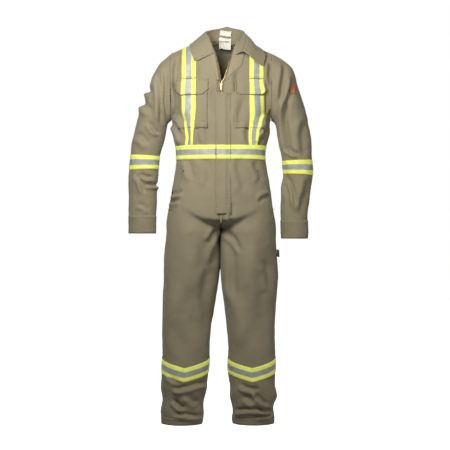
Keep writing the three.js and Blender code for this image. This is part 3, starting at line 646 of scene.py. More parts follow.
def trim_finish(name):
    finish = Finish(name, Specular_IOR_Level=0.35)
    across, up = finish.uv()
    half = TRIM_WIDTH * MM / 2
    off_centre = (across - half).math("ABSOLUTE")
    silver = finish.fade(off_centre, SILVER_HALF - 0.0003, SILVER_HALF + 0.0003)
    border = finish.fade((off_centre - SILVER_HALF - 0.0012).math("ABSOLUTE"), 0.0003, 0.0008)
    rim = finish.fade((off_centre - half + 0.0022).math("ABSOLUTE"), 0.0003, 0.0008)
    stitch = (border + rim).math("MINIMUM", 1.0) * finish.ease(up.ripple(TRIM_STITCH), -0.5, 0.0)
    ribs = up.ripple(TRIM_RIB)
    place = finish.node("ShaderNodeTexCoord", out="Object")
    beads = finish.node("ShaderNodeTexVoronoi", values={"Vector": place, "Scale": 900.0})
    worn = finish.noise(45.0, 4)
    yellow = finish.colours((0.54, 0.60, 0.09, 1), (0.68, 0.71, 0.14, 1), finish.ease(worn, 0.3, 0.7))
    yellow = finish.colours(yellow, (0.44, 0.50, 0.08, 1), finish.fade(ribs, -0.9, 0.2) * 0.3)
    grey = finish.colours((0.26, 0.265, 0.235, 1), (0.36, 0.365, 0.32, 1), finish.ease(worn, 0.35, 0.7))
    grey = finish.colours(grey, (0.30, 0.32, 0.30, 1), finish.ease(beads, 0.2, 0.7) * 0.3)
    base = finish.colours(yellow, grey, silver)
    base = finish.colours(base, (0.34, 0.36, 0.20, 1), stitch * 0.45)
    finish.set("Base Color", base)
    finish.set("Roughness", silver * -0.28 + 0.72)
    # Painted light: the yellow stripes glow a little by themselves, which brightens them under any lamp.
    finish.set("Emission Color", finish.colours((0.80, 0.84, 0.18, 1), (0.0, 0.0, 0.0, 1), silver))
    finish.set("Emission Strength", 0.22)
    relief = (1 - silver) * (ribs * 0.0001 + 0.0004) + stitch * -0.0003 + beads * 0.00005
    finish.set("Normal", finish.bump(relief, 0.8, 1.0))
    return finish.material


TRIM = trim_finish("striped_trim"), "reflective_trim"


# %% Small finishes
def plain_weave(name, colour, period=0.0007, edge=None, sheen=0.1):
    """A plain weave with one row of thread near its edges, in the edge colour."""
    finish = Finish(name, Specular_IOR_Level=0.25, Sheen_Weight=sheen)
    across, up = finish.uv()
    weave = across.ripple(period) * up.ripple(period)
    drift = finish.noise(35.0, 3)
    row = finish.fade((finish.own("seam") - 0.0016).math("ABSOLUTE"), 0.0003, 0.0007)
    stitch = row * finish.ease(finish.own("run").ripple(0.0024), -0.4, 0.0)
    base = finish.colours(shade(colour, 0.85), shade(colour, 1.12), drift)
    base = finish.colours(base, shade(colour, 0.7), finish.fade(weave, -0.8, 0.2) * 0.3)
    base = finish.colours(base, edge or shade(colour, 0.6), stitch * 0.7)
    finish.set("Base Color", base)
    finish.set("Roughness", finish.ease(drift, 0.3, 0.7, 0.7, 0.9))
    finish.set("Normal", finish.bump(weave * 0.00008 + stitch * 0.0002, 0.8, 1.0))
    return finish.material


LABEL = plain_weave("label_satin", (0.70, 0.66, 0.56, 1), 0.0005, (0.5, 0.48, 0.42, 1), 0.15), "label"
PATCH = plain_weave("patch_weave", (0.44, 0.155, 0.055, 1), 0.0011, (0.2, 0.07, 0.03, 1)), "patch"
TAB = plain_weave("tab_weave", (0.055, 0.048, 0.040, 1), 0.0009, (0.16, 0.15, 0.13, 1)), "tab"
ZIP_TAPE = plain_weave("zip_tape_weave", (0.17, 0.135, 0.080, 1), 0.0012), "zip_tape"


def brass_finish():
    finish = Finish("worn_brass", Metallic=1.0)
    worn = finish.noise(220.0, 4)
    spots = finish.noise(900.0, 2)
    dull, bright = (0.20, 0.145, 0.065, 1), (0.40, 0.31, 0.16, 1)
    finish.set("Base Color", finish.colours(dull, bright, finish.ease(worn, 0.35, 0.65)))
    finish.set("Roughness", finish.ease(spots, 0.3, 0.7, 0.28, 0.5))
    finish.set("Normal", finish.bump(spots, 0.15, 0.0002))
    return finish.material


brass = brass_finish()
print(len(bpy.data.materials), "finishes")

# %% [markdown]
# ## The folded skins
# The folds follow how such a garment hangs: drapes beside the armholes, slanting gathers above the waist,
# strain lines at the fork, and cloth that bunches above each hem because the legs end on nothing.

# %% Folds, as (x, z, end x, end z, width, height), in millimetres seen from the front
UPPER_FOLDS = {
    RIGHT: [(-186, 1500, -196, 1390, 9, 3.5), (-196, 1400, -184, 1285, 8, 5),
            (-100, 1490, -84, 1400, 14, 2.5), (-170, 1262, -143, 1160, 11, 5),
            (-196, 1232, -160, 1158, 8, 5), (-60, 1230, -66, 1150, 14, 2.5), (-112, 1215, -100, 1146, 9, 3),
            (-42, 1380, -30, 1260, 16, 2)],
    LEFT: [(196, 1290, 172, 1244, 6, 4), (192, 1262, 160, 1210, 7, 5), (186, 1236, 158, 1180, 7, 5),
           (176, 1210, 150, 1150, 8, 4), (190, 1480, 197, 1390, 9, 4), (60, 1440, 48, 1360, 12, 3),
           (96, 1230, 108, 1146, 12, 3), (70, 1330, 62, 1230, 14, 2.5)],
}
TROUSER_FOLDS = {
    RIGHT: [(-22, 808, -61, 758, 9, 4), (-18, 775, -38, 668, 12, 5), (-100, 720, -126, 390, 34, 5),
            (-168, 560, -186, 310, 26, 4), (-206, 939, -160, 951, 8, 4), (-212, 908, -170, 918, 7, 4),
            (-60, 640, -84, 420, 22, 4), (-192, 148, -139, 152, 8, 6), (-139, 152, -70, 170, 8, 4),
            (-200, 96, -155, 70, 8, 6), (-182, 44, -90, 36, 7, 6), (-150, 118, -100, 88, 12, 4),
            (-70, 1080, -60, 980, 16, 2.5), (-150, 1075, -120, 1010, 12, 3), (-216, 205, -186, 170, 9, 4)],
    LEFT: [(32, 905, 36, 835, 7, 4), (18, 791, 70, 717, 9, 4.5), (26, 758, 48, 520, 14, 5),
           (139, 717, 148, 330, 34, 5), (80, 560, 96, 330, 24, 4), (78, 160, 150, 139, 9, 5),
           (135, 135, 178, 80, 8, 7), (62, 57, 150, 66, 7, 7), (148, 64, 206, 50, 7, 8),
           (146, 36, 206, 42, 6, 6), (88, 112, 130, 96, 12, 4), (60, 1080, 74, 960, 14, 2.5),
           (130, 1070, 150, 1000, 12, 3), (190, 950, 150, 920, 9, 3), (170, 660, 204, 560, 16, 3)],
}
SLEEVE_FOLDS = {
    RIGHT: [(-336, 1394, -287, 1349, 10, 5), (-358, 1330, -290, 1282, 12, 5),
            (-258, 1425, -249, 1250, 10, 7), (-238, 1440, -226, 1270, 8, 6), (-330, 1021, -286, 1004, 7, 5),
            (-346, 1018, -318, 955, 8, 4), (-307, 976, -262, 982, 6, 4), (-352, 1180, -300, 1150, 12, 4),
            (-340, 900, -300, 880, 8, 3), (-300, 1230, -262, 1190, 8, 4)],
    LEFT: [(254, 1312, 262, 1127, 9, 7), (283, 1414, 258, 1291, 9, 5), (246, 1470, 238, 1332, 9, 6),
           (254, 1066, 268, 930, 8, 4), (275, 1004, 300, 905, 7, 5), (266, 1127, 310, 1102, 7, 5),
           (330, 1240, 316, 1110, 16, 4), (340, 1000, 322, 880, 14, 4)],
}
BACK_FOLDS = [(-150, 1330, -120, 1180, 14, 4), (150, 1330, 118, 1180, 14, 4), (-60, 1240, -48, 1150, 12, 3),
              (40, 1240, 52, 1150, 12, 3), (0, 1480, 0, 1300, 20, 3), (-180, 1250, -150, 1160, 9, 4),
              (182, 1250, 150, 1160, 9, 4)]


SEAT_FOLDS = [(20, 830, 90, 740, 12, 5), (40, 790, 120, 700, 14, 4), (110, 700, 130, 330, 34, 5),
              (70, 180, 190, 160, 9, 5), (90, 110, 180, 80, 9, 6), (100, 50, 190, 60, 7, 5),
              (100, 470, 170, 430, 14, 4), (90, 430, 160, 400, 12, 3)]     # x from the centre line outwards
BUNCHING, ANKLE_BULGE, TUCK = 3.4, 7, 2.5


def seat_folds(side):
    return [(side * x, z, side * end_x, *rest) for x, z, end_x, *rest in SEAT_FOLDS]


def bunching(side):
    """Cloth gathered in rings above the hem, and a bulge at the left outer ankle."""
    def height(points, u, v):
        z = points[..., 2]
        low = smooth((230 - z) / 120) * smooth((z - 26) / 16)
        rings = np.sin(z / 17 + 1.4 * np.sin(points[..., 0] / 38 + side) + points[..., 1] / 60)
        bulge = np.exp(-((z - 112) / 26) ** 2) * smooth((u - 0.55) / 0.4) if side == LEFT else 0
        return BUNCHING * low * rings + ANKLE_BULGE * bulge
    return height


def tuck(points, u, v):
    """The sleeve's first ring slips under the edge of the trunk."""
    return -TUCK * smooth((0.012 - v) / 0.012)


# %% Lay the skins
TRUNK_SEED, TRUNK_UNEVEN, SLEEVE_UNEVEN = 21, 2.2, 2.4
upper_back = upper(LEFT, BACK)


def whole_back(u, v):
    points = upper_back(np.abs(2 * u - 1), v)
    points[..., 0] *= np.sign(2 * u - 1)
    return points


skins = {"back": Skin(whole_back, 84, 78, (0, 1, 0), TRUNK_UNEVEN, TRUNK_SEED, BACK_FOLDS)}
for name, side in SIDES.items():
    skins["front_" + name] = Skin(upper(side, FRONT), 44, 80, (0, -1, 0), TRUNK_UNEVEN, TRUNK_SEED,
                                  UPPER_FOLDS[side])
    for half, face, folds in (("front_", FRONT, TROUSER_FOLDS[side]), ("back_", BACK, seat_folds(side))):
        skins["leg_" + half + name] = Skin(trousers(side, face), 52, 200, (0, face, 0), TRUNK_UNEVEN,
                                           TRUNK_SEED, folds, bunching(side))
    skins["sleeve_" + name] = Skin(sleeve(side), 80, 140, None, SLEEVE_UNEVEN, TRUNK_SEED + 5,
                                   SLEEVE_FOLDS[side], tuck)
print(sum(skin.points[..., 0].size for skin in skins.values()), "points on", len(skins), "skins")


# %% Sampling the trunk, a leg and a sleeve
def leg_share(z):
    return (z - HEM_Z) / (WAIST_Z - HEM_Z)


def on_trunk(side, face, x, z, lift=0.0):
    """Points on the folded trunk at distance x from the centre line and height z."""
    x, z, lift = np.broadcast_arrays(np.asarray(x, float), z, lift)
    high = np.maximum(z, WAIST_Z)
    u, v = upper_spot(side, face, x, high)
    name = "right" if side == RIGHT else "left"
    if face == BACK:
        top = skins["back"].at(0.5 + side * u / 2, v, lift)
    else:
        top = skins["front_" + name].at(u, v, lift)
    low = np.minimum(z, WAIST_Z)
    edge = turn_at(SEAM_X[face], low)
    across = (turn_at(x, low) - edge) / (np.pi / 2 - edge)
    panel = skins[("leg_front_" if face == FRONT else "leg_back_") + name]
    bottom = panel.at(across, leg_share(low), lift)
    return np.where((z >= WAIST_Z)[..., None], top, bottom)


def on_leg(name, u, z, lift=0.0):
    """Points once round a leg; u starts at the front crease."""
    turn = 2 * np.pi * np.asarray(u, float)
    share = (np.arcsin(np.clip(np.sin(turn), -1, 1)) + np.pi / 2) / np.pi
    front = skins["leg_front_" + name].at(share, leg_share(z), lift)
    rear = skins["leg_back_" + name].at(share, leg_share(z), lift)
    return np.where((np.cos(turn) > 0)[..., None], front, rear)


def on_sleeve_front(name, x, z, lift):
    """Points on the front of a sleeve seen at x and z, from the nearest points of its skin."""
    skin = skins["sleeve_" + name]
    front = skin.points[..., 1] < 0
    plan, height, normal = skin.points[front][:, [0, 2]], skin.points[front], skin.normals[front]
    gap = np.linalg.norm(np.stack([x, z], -1)[..., None, :] - plan, axis=-1) + 0.3
    nearest = np.argsort(gap, axis=-1)[..., :9]
    weight = 1 / np.take_along_axis(gap, nearest, -1) ** 2
    weight = (weight / weight.sum(-1, keepdims=True))[..., None]
    out = (normal[nearest] * weight).sum(-2)
    depth = (height[nearest] * weight).sum(-2)[..., 1]
    return np.stack([x, depth, z], -1) + out * lift


# %% [markdown]
# ## The panels
# Each panel is cut from its skin and given a thin wall. Trouser panels and sleeves lie between the trunk and
# a leg or the raised arm; they are not attached to a body but keep their baked place.

# %% Hinge zones
def leg_bend(name):
    return ("shell", "leg_" + name, tuple(to_frame((0, 0, 806))), tuple(to_frame((0, 0, 724))))


def sleeve_bend(name):
    side = SIDES[name]
    start, reach = np.array([side * ARMHOLE_X, 0, ARMPIT_Z]), np.array([side * 56, 0, -9])
    return ("shell", "sleeve_" + name, tuple(to_frame(start)), tuple(to_frame(start + reach)))


# %% Panels
def panel(name, skin, stitched, **kind):
    sewn(name, skin.points, PLAIN, CLOTH, stitched, skin.outward, closed=skin.closed, **kind)


panel("back_panel", skins["back"], "lrt", body="shell", replaces=["upper_back"])
for name, side in SIDES.items():
    panel("front_panel_" + name, skins["front_" + name], "rlt", body="shell",
          replaces=["upper_front_" + name])
    for face in ("front", "back"):
        panel(f"trouser_{face}_{name}", skins[f"leg_{face}_{name}"], "lr", bend=leg_bend(name),
              replaces=[f"hip_{face}_{name}", f"leg_{face}_{name}"])
    panel("sleeve_panel_" + name, skins["sleeve_" + name], "b", bend=sleeve_bend(name),
          replaces=["sleeve_" + name])
print("panels cut")

# %% [markdown]
# ## Cuffs, hems and tapes round the limbs
# A cuff and a hem are the same cloth turned over and stitched, so each is a band a little proud of the
# panel. The tapes are bands too, and the leg tape dips to a point at the front crease.

# %% Bands
HEM_DEPTH, LEG_TRIM_Z, LEG_TRIM_DIP = 30, 248, 39
TAPE_LIFT = 2.2                            # trim stands this far out from the middle of its panel


def band(name, points, cloth, wall, **kind):
    sewn(name, points, cloth, wall, "tb", None, closed=True, **kind)


for name, side in SIDES.items():
    u, v = grid(64, 6)
    hem = on_leg(name, u, HEM_Z + HEM_DEPTH * v, 1.6 + 0.8 * np.sin(v * np.pi))
    band("hem_" + name, hem, DOUBLED, 2.0, body="leg_" + name, replaces=["leg_hem_" + name])
    u, v = grid(80, 8)
    dip = LEG_TRIM_DIP * np.maximum(0, 1 - np.minimum(u, 1 - u) * 4)
    ring = on_leg(name, u, LEG_TRIM_Z - dip + TRIM_WIDTH * (v - 0.5), TAPE_LIFT)
    band("leg_trim_" + name, ring, TRIM, 1.0, turned=True, body="leg_" + name, replaces=["leg_tape_" + name])
    skin = skins["sleeve_" + name]
    u, v = grid(72, 10)
    top = sleeve_share(side, CUFF_Z[side] + CUFF_DEPTH)
    cuff = skin.at(u, lerp(top, 1, v), 1.7 - 0.5 * v)
    band("cuff_band_" + name, cuff, DOUBLED, 2.2, body="sleeve_" + name, replaces=["cuff_" + name])
    high, low = (sleeve_share(side, SLEEVE_TRIM_Z[side] + k * TRIM_WIDTH / 2) for k in (1, -1))
    ring = skin.at(u, lerp(high, low, v), TAPE_LIFT)
    band("sleeve_trim_" + name, ring, TRIM, 1.0, turned=True, body="sleeve_" + name,
         replaces=["sleeve_tape_" + name])
print("bands sewn")

# %% Waist trim
WAIST_TRIM_START = {RIGHT: 20, LEFT: 40}   # the fly covers the rest


def at_turn(side, face, turn, z, lift):
    return on_trunk(side, face, trunk_x(turn, z), z, lift)


u, v = grid(60, 8)
waist = WAIST_Z + TRIM_WIDTH * (v - 0.5)
for name, side in SIDES.items():
    turn = lerp(turn_at(WAIST_TRIM_START[side], waist), np.pi / 2, u)
    sewn("waist_trim_front_" + name, at_turn(side, FRONT, turn, waist, TAPE_LIFT), TRIM, turned=True,
         body="shell", replaces=["waist_tape_front_" + name])
u, v = grid(110, 8)
waist = WAIST_Z + TRIM_WIDTH * (v - 0.5)
turn = np.abs(2 * u - 1) * np.pi / 2
halves = [at_turn(side, BACK, turn, waist, TAPE_LIFT) for side in (RIGHT, LEFT)]
rear = np.where((u < 0.5)[..., None], *halves)
sewn("waist_trim_back", rear, TRIM, outward=(0, 1, 0), turned=True, body="shell",
     replaces=["waist_tape_back"])

# %% [markdown]
# ## Chest pockets and their flaps
# A pocket is a patch that stands a little off the chest because it is meant to hold things. Its flap is
# sewn along the top, has two cut corners, and lifts at its lower edge.

# %% Measures of the pockets
POCKET_IN, POCKET_OUT, POCKET_LOW, POCKET_HIGH = 55, 178, 1212, 1392
POCKET_WIDTH, POCKET_HEIGHT = POCKET_OUT - POCKET_IN, POCKET_HIGH - POCKET_LOW
FLAP_TOP, FLAP_LENGTH, FLAP_SPARE, MITRE = 1412, 64, 3, 20
FLAP_LOW = FLAP_TOP - FLAP_LENGTH
POCKET_LIFT, FLAP_LIFT, SWELL, TRIM_RISE = 3.6, 6.2, 1.4, 1.4
TAPE_MIDDLE = {RIGHT: 130, LEFT: 144}
PLEAT_SHIFT = {RIGHT: -1, LEFT: -14}       # the pleat at the waist draws the trim inwards
RIDGE = 0.24                               # share of the shoulder trim in front of the shoulder


def flap_rise(side, across, v):
    """Height of a flap over the chest: sewn down at the top, loose below, and the left one gapes."""
    gape = (1 - v) ** 2 * (9 * smooth((across - 0.55) / 0.45) if side == LEFT else 2 * smooth(across))
    roll = 0.8 * np.sin(across * 9 + side) * (1 - v)
    return lerp(FLAP_LIFT + 2.5 * (1 - v) + gape + roll, 3.0, smooth((v - 0.66) / 0.34))


def swelling(u, v):
    """The soft swell of a patch pocket, 1 in its middle."""
    return np.sin(np.pi * u) ** 0.7 * np.sin(np.pi * v) ** 0.5


def tape_x(side, z, share):
    """Below the pocket the trim narrows as the waist draws the cloth into a pleat."""
    gather = smooth((1300 - z) / 150)
    centre = TAPE_MIDDLE[side] + PLEAT_SHIFT[side] * gather
    return centre + TRIM_WIDTH * (1 - 0.42 * gather) * (share - 0.5)


def trim_strip(name, points, outward=(0, -1, 0), **kind):
    """Trim with its stripes fitted to its width."""
    sewn(name, points, TRIM, 1.0, "", outward, fit=True, **kind)


# %% Pockets, flaps and the trim over them
for name, side in SIDES.items():
    u, v = grid(26, 36)
    pocket = on_trunk(side, FRONT, lerp(POCKET_IN, POCKET_OUT, u), lerp(POCKET_LOW, POCKET_HIGH, v),
                      POCKET_LIFT + SWELL * swelling(u, v))
    sewn("pocket_" + name, pocket, DOUBLED, 2.0, "lrb", body="shell", replaces=["chest_pocket_" + name])
    u, v = grid(36, 16)
    cut = np.maximum(0, MITRE - np.minimum(u, 1 - u) * POCKET_WIDTH)
    flap = on_trunk(side, FRONT, lerp(POCKET_IN - FLAP_SPARE, POCKET_OUT + FLAP_SPARE, u),
                    lerp(FLAP_LOW + cut, FLAP_TOP, v), flap_rise(side, u, v))
    sewn("flap_" + name, flap, PLAIN, 1.9, body="flap_" + name, replaces=["chest_flap_" + name])
    u, v = grid(10, 12)
    x = TAPE_MIDDLE[side] + TRIM_WIDTH * (u - 0.5)
    across = (x - POCKET_IN + FLAP_SPARE) / (POCKET_WIDTH + 2 * FLAP_SPARE)
    corner = np.maximum(0, MITRE - (1 - across) * POCKET_WIDTH)
    over = on_trunk(side, FRONT, x, lerp(FLAP_LOW + 0.5 + corner, FLAP_TOP, v),
                    flap_rise(side, across, v) + TRIM_RISE)
    trim_strip("flap_trim_" + name, over, body="flap_" + name, replaces=["flap_tape_" + name])
    u, v = grid(10, 24)
    z = lerp(POCKET_LOW + 0.5, FLAP_LOW - 3, v)
    x = tape_x(side, z, u)
    swell = SWELL * swelling(np.clip((x - POCKET_IN) / POCKET_WIDTH, 0, 1), (z - POCKET_LOW) / POCKET_HEIGHT)
    over = on_trunk(side, FRONT, x, z, POCKET_LIFT + swell + TRIM_RISE)
    trim_strip("pocket_trim_" + name, over, body="shell", replaces=["chest_tape_" + name])
    u, v = grid(10, 14)
    z = lerp(WAIST_Z + TRIM_WIDTH / 2 - 4, POCKET_LOW, v)
    lift = lerp(1.9, POCKET_LIFT + 1.0, smooth((v - 0.8) / 0.2))
    below = on_trunk(side, FRONT, tape_x(side, z, u), z, lift)
    trim_strip("belly_trim_" + name, below, body="shell", replaces=["belly_tape_" + name])
    u, v = grid(10, 70)
    x = TAPE_MIDDLE[side] + TRIM_WIDTH * (u - 0.5)
    front_low, back_low = FLAP_TOP + 2, WAIST_Z + TRIM_WIDTH / 2
    front_z = front_low + (shoulder_z(x) - front_low) * np.sin(np.clip(v / RIDGE, 0, 1) * np.pi / 2)
    fall = np.clip((v - RIDGE) / (1 - RIDGE), 0, 1)
    drop = np.where(fall < 0.25, 1 - (fall / 0.25) ** 2 * 0.12, 0.88 * (1 - (fall - 0.25) / 0.75))
    before = on_trunk(side, FRONT, x, front_z, TAPE_LIFT + 0.6)
    behind = on_trunk(side, BACK, x, back_low + (shoulder_z(x) - back_low) * drop, TAPE_LIFT + 0.2)
    trim_strip("shoulder_trim_" + name, np.where((v < RIDGE)[..., None], before, behind), (0, 0, 1),
               body="shell", replaces=["shoulder_tape_" + name])
print("pockets, flaps and trim sewn")

# %% [markdown]
# ## Lower pockets, tab and patch
# Slash pockets open in a welt at each hip, with their bags hidden inside. Two patch pockets sit behind.
# A folded tab is caught in the left side seam, and a woven patch is sewn on the left sleeve.

# %% Lower pockets
POCKETING = plain_weave("pocketing", (0.36, 0.32, 0.23, 1)), "pocket_cloth"
for name, side in SIDES.items():
    u, v = grid(24, 24)
    patch = on_trunk(side, BACK, lerp(45, 165, u), lerp(872, 1012, v), 4.0 + 1.5 * swelling(u, v))
    sewn("hip_patch_" + name, patch, DOUBLED, 1.9, outward=(0, 1, 0), body="shell",
         replaces=["hip_pocket_" + name])
    u, v = grid(20, 24)
    bag = at_turn(side, FRONT, lerp(0.72, 1.32, u), lerp(880, 1032, v), -3.2)
    sewn("pocket_bag_" + name, bag, POCKETING, 0.8, "lrb", body="shell", replaces=["side_pocket_bag_" + name])
    u, v = grid(5, 40)
    turn = lerp(1.22, 0.86, v) + 0.05 * (u - 0.5)
    mouth = 2.0 + 1.6 * np.sin(np.pi * v) * u + 0.5 * np.sin(np.pi * u)
    welt = at_turn(side, FRONT, turn, lerp(878, 1046, v), mouth)
    sewn("slash_welt_" + name, welt, DOUBLED, 1.5, "lr", body="shell")

# %% Tab and patch
u, v = grid(6, 10)
seam_point = leg_point(LEFT, FRONT, np.full(u.shape, 1.47), 690 + 30 * v)
tab = seam_point + np.stack([10.5 * u - 1.0, -3 - 2.0 * np.sin(u * np.pi), -3.0 * u], -1)
sewn("side_tab", tab, TAB, body="leg_left", replaces=["thigh_tab"])
u, v = grid(8, 12)
patch = on_sleeve_front("left", lerp(282, 305, u) - 6 * v, lerp(1356, 1394, v), 2.6)
sewn("arm_patch", patch, PATCH, 1.1, bend=sleeve_bend("left"), replaces=["sleeve_patch"])

# %% [markdown]
# ## The zip
# Two tapes carry the teeth. Below the throat the teeth mesh in the middle, and above it the two rows part
# and follow the open neck. Each tooth is a few faces only, because there are hundreds of them.

# %% Zip tapes and teeth
TOOTH_PITCH = 3.3
TOOTH_SIZE = (3.0, 2.4, 1.5)               # across the zip, through it, and along it
TOOTH_TIP = 0.75                           # how far a tooth narrows where it meshes


def opening_points(side, reach, share, lift):
    """Points beside the opening: share 0 at the fork, 0.8 at the throat, 1 part way up the neck."""
    share = np.asarray(share, float)
    z = lerp(FORK_Z + 2, THROAT_Z, np.clip(share / 0.8, 0, 1))
    rise = np.clip((share - 0.8) / 0.2, 0, 1) * 0.5
    turn = turn_at(neck_edge(rise, side) - EDGE_X + reach, z)
    x = trunk_x(turn, z)
    z = np.where(rise > 0, over_shoulder(x, rise * np.pi / 2), z)
    y = trunk_y(FRONT, x, z) - lift * np.cos(rise * 1.2)
    return np.stack([side * x, y, z + lift * np.sin(rise * 1.2)], -1)


def tooth_row(side_name, side):
    path = opening_points(side, 1.3, np.linspace(0, 1, 1200), -0.2)
    length = np.concatenate([[0], np.cumsum(np.linalg.norm(np.diff(path, axis=0), axis=1))])
    teeth = bmesh.new()
    count = int(length[-1] / TOOTH_PITCH)
    for k in range(count):
        run = (k + (0.5 if side == RIGHT else 0.0)) * TOOTH_PITCH
        centre, ahead = (np.array([np.interp(at, length, path[:, axis]) for axis in range(3)])
                         for at in (run, run + 2))
        made = bmesh.ops.create_cube(teeth, size=1)["verts"]
        up = Vector(ahead - centre).normalized()
        out = Vector((0, -1, 0))
        wide = up.cross(out).normalized()
        out = wide.cross(up).normalized()
        place = Vector(to_frame(centre))
        for vert in made:
            tip = TOOTH_TIP if vert.co.x * side < 0 else 1.0
            x, y, z = (share * size * MM for share, size in zip(vert.co, TOOTH_SIZE))
            vert.co = place + wide * x + out * (y * tip) + up * (z * tip)
    bmesh.ops.recalc_face_normals(teeth, faces=teeth.faces)
    row = linked("teeth_" + side_name, teeth)
    finish_piece(row, brass, "zip_metal", body="shell", replaces=["zip_teeth_" + side_name])
    return count


print("teeth:", [tooth_row(name, side) for name, side in SIDES.items()])
for name, side in SIDES.items():
    u, v = grid(4, 120)
    strip = opening_points(side, lerp(2.6, 17, u), v, -1.4)
    sewn("zip_tape_" + name + "_cloth", strip, ZIP_TAPE, 0.9, "lr", body="shell",
         replaces=["zip_tape_" + name])
for node in ("zip_slider", "zip_slider_pull", "lower_slider", "lower_slider_pull"):
    for material_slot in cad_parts[node].material_slots:
        material_slot.material = brass

# %% [markdown]
# ## The fly and the turned-back front edge
# A fly covers the zip. It is sewn down on the wearer's left and free on the right. Above the throat the
# left front turns back on itself, which shows its facing as a slanting band up to the collar.

# %% Fly
PLACKET_FREE, PLACKET_SEWN = -19, 39
PLACKET_LOW, PLACKET_TOP = 866, 1356
TRIM_OVER_FLY = 1.3


def front_points(x, z, lift):
    """Points over the closed front, across the centre line."""
    flat = np.stack([x, trunk_y(FRONT, np.abs(x), z), z + 0 * x], -1)
    uneven = 2.2 * waves(flat, 150, TRUNK_SEED) * smooth((x + 19) / 40)
    lean = np.array([0, -0.998, -0.062])
    return flat + lean * (lift + uneven)[..., None]


def fly_lift(share, height):
    """The fly lies close along its sewn edge, and its free part stands off the zip and ripples."""
    ripple = 0.5 * np.sin(height * 40 + 2 * share) * smooth(share * 2)
    return lerp(3.0, 8.6, smooth((share - 0.12) / 0.3)) + ripple


u, v = grid(16, 110)
fly_x = lerp(PLACKET_SEWN, PLACKET_FREE, u) + 0.8 * np.sin(v * 21) * u
fly = front_points(fly_x, lerp(PLACKET_LOW, PLACKET_TOP, v), fly_lift(u, v))
sewn("fly_cover", fly, PLAIN, 1.9, "lrt", body="placket", replaces=["cover_placket"])
u, v = grid(12, 8)
trim_x = lerp(PLACKET_SEWN + 0.5, PLACKET_FREE + 0.6, u)
waist = WAIST_Z + TRIM_WIDTH * (v - 0.5)
trim_lift = fly_lift((PLACKET_SEWN - trim_x) / (PLACKET_SEWN - PLACKET_FREE),
                     (waist - PLACKET_LOW) / (PLACKET_TOP - PLACKET_LOW)) + TRIM_OVER_FLY
sewn("fly_trim", front_points(trim_x, waist, trim_lift), TRIM, 1.0, "", turned=True,
     body="placket", replaces=["placket_tape"])

# %% Facing
for name, side, wide in (("left", LEFT, 40), ("right", RIGHT, 12)):
    u, v = grid(14, 60)
    rise = lerp(0.015, 0.86, v)
    reach = wide * smooth(v / 0.3) * (1 - 0.35 * smooth((v - 0.7) / 0.3)) + 5
    inner = neck_edge(rise, side) - 2.0
    turned = lerp(-0.22, 1, u)
    roll = 1.5 * np.sin(np.clip((turned + 0.22) / 0.44, 0, 1) * np.pi)
    x_plan = inner + reach * np.maximum(turned, 0) - roll
    turn = turn_at(x_plan, THROAT_Z + 0 * rise)
    x = trunk_x(turn, THROAT_Z)
    z = over_shoulder(x, rise * np.pi / 2)
    base = on_trunk(side, FRONT, np.maximum(x, neck_edge(rise, side) + 0.2), z, 0.0 * rise)
    base[..., 0] = side * x
    lift = np.where(turned < 0, lerp(-3.0, 4.0, smooth((turned + 0.22) / 0.22)), 4.0 - 1.6 * smooth(turned))
    base[..., 1] -= lift * np.cos(rise * 1.1)
    base[..., 2] += lift * np.sin(rise * 1.1)
    sewn("facing_" + name, base, FACING, 1.4, "lr", body="shell")

# %% [markdown]
# ## Collar, labels and hanger loop
# The stand rises from the neck seam, and the leaf turns over it and falls to two points on the shoulders.
# Two blank labels and the loop are sewn inside the back of the neck.

# %% Neck line
def shoulder_sweep(x, swing):
    """A point of the shoulders: swing is 0 at the front, a quarter turn on the ridge, a half at the back."""
    depth = np.where(swing < np.pi / 2, -throat_depth(FRONT, x), throat_depth(BACK, x))
    return np.stack([x + 0 * swing, depth * np.abs(np.cos(swing)), over_shoulder(x, swing)], -1)


def neck_place(q):
    """x and swing of the neck line: q is 0 at the back, -1 and 1 at the front ends."""
    reach = np.abs(q)
    rise = lerp(1, np.where(q < 0, 0.36, 0.40), np.clip((reach - 0.5) * 2, 0, 1))
    x = NECK_HALF * np.sin(q * np.pi)
    y = NECK_BACK_Y * np.cos(q * np.pi)
    back = np.pi - np.arccos(np.clip(y / throat_depth(BACK, x), -1, 1))
    front = reach > 0.5
    return np.where(front, np.sign(q) * neck_edge(rise, q), x), np.where(front, rise * np.pi / 2, back)


def neck_line(q):
    return shoulder_sweep(*neck_place(q))


def outward_at(q):
    run = neck_line(np.minimum(1, q + 0.02)) - neck_line(np.maximum(-1, q - 0.02))
    out = np.stack([-run[..., 1], run[..., 0], 0 * q], -1)
    return out / np.linalg.norm(out, axis=-1, keepdims=True)


STAND_BASE = 3.9
COLLAR_LEAN = 0.42                         # the hanging collar leans to the wearer's left


def stand_height(q):
    """Highest at the back of the neck and falling to the front ends."""
    return 25 + 34 * np.cos(np.minimum(np.abs(q), 0.5) * np.pi) ** 0.8 - 18 * smooth((np.abs(q) - 0.5) / 0.4)


def stand_flare(q):
    """How far the left end of the stand falls open."""
    return 34 * smooth((q - 0.42) / 0.42)


# %% Collar
u, v = grid(90, 8)
q = lerp(-1, 1, u)
stand = neck_line(q) + outward_at(q) * (-1 + (3 + stand_flare(q)) * v)[..., None]
stand[..., 2] += lerp(-6, STAND_BASE + stand_height(q), v)
stand += outward_at(q) * (0.8 * waves(stand, 70, 3))[..., None]
stand[..., 0] += COLLAR_LEAN * stand_height(q) * v
sewn("collar_band", stand, PLAIN, 1.6, "tb", None, body="shell", replaces=["collar_stand"])

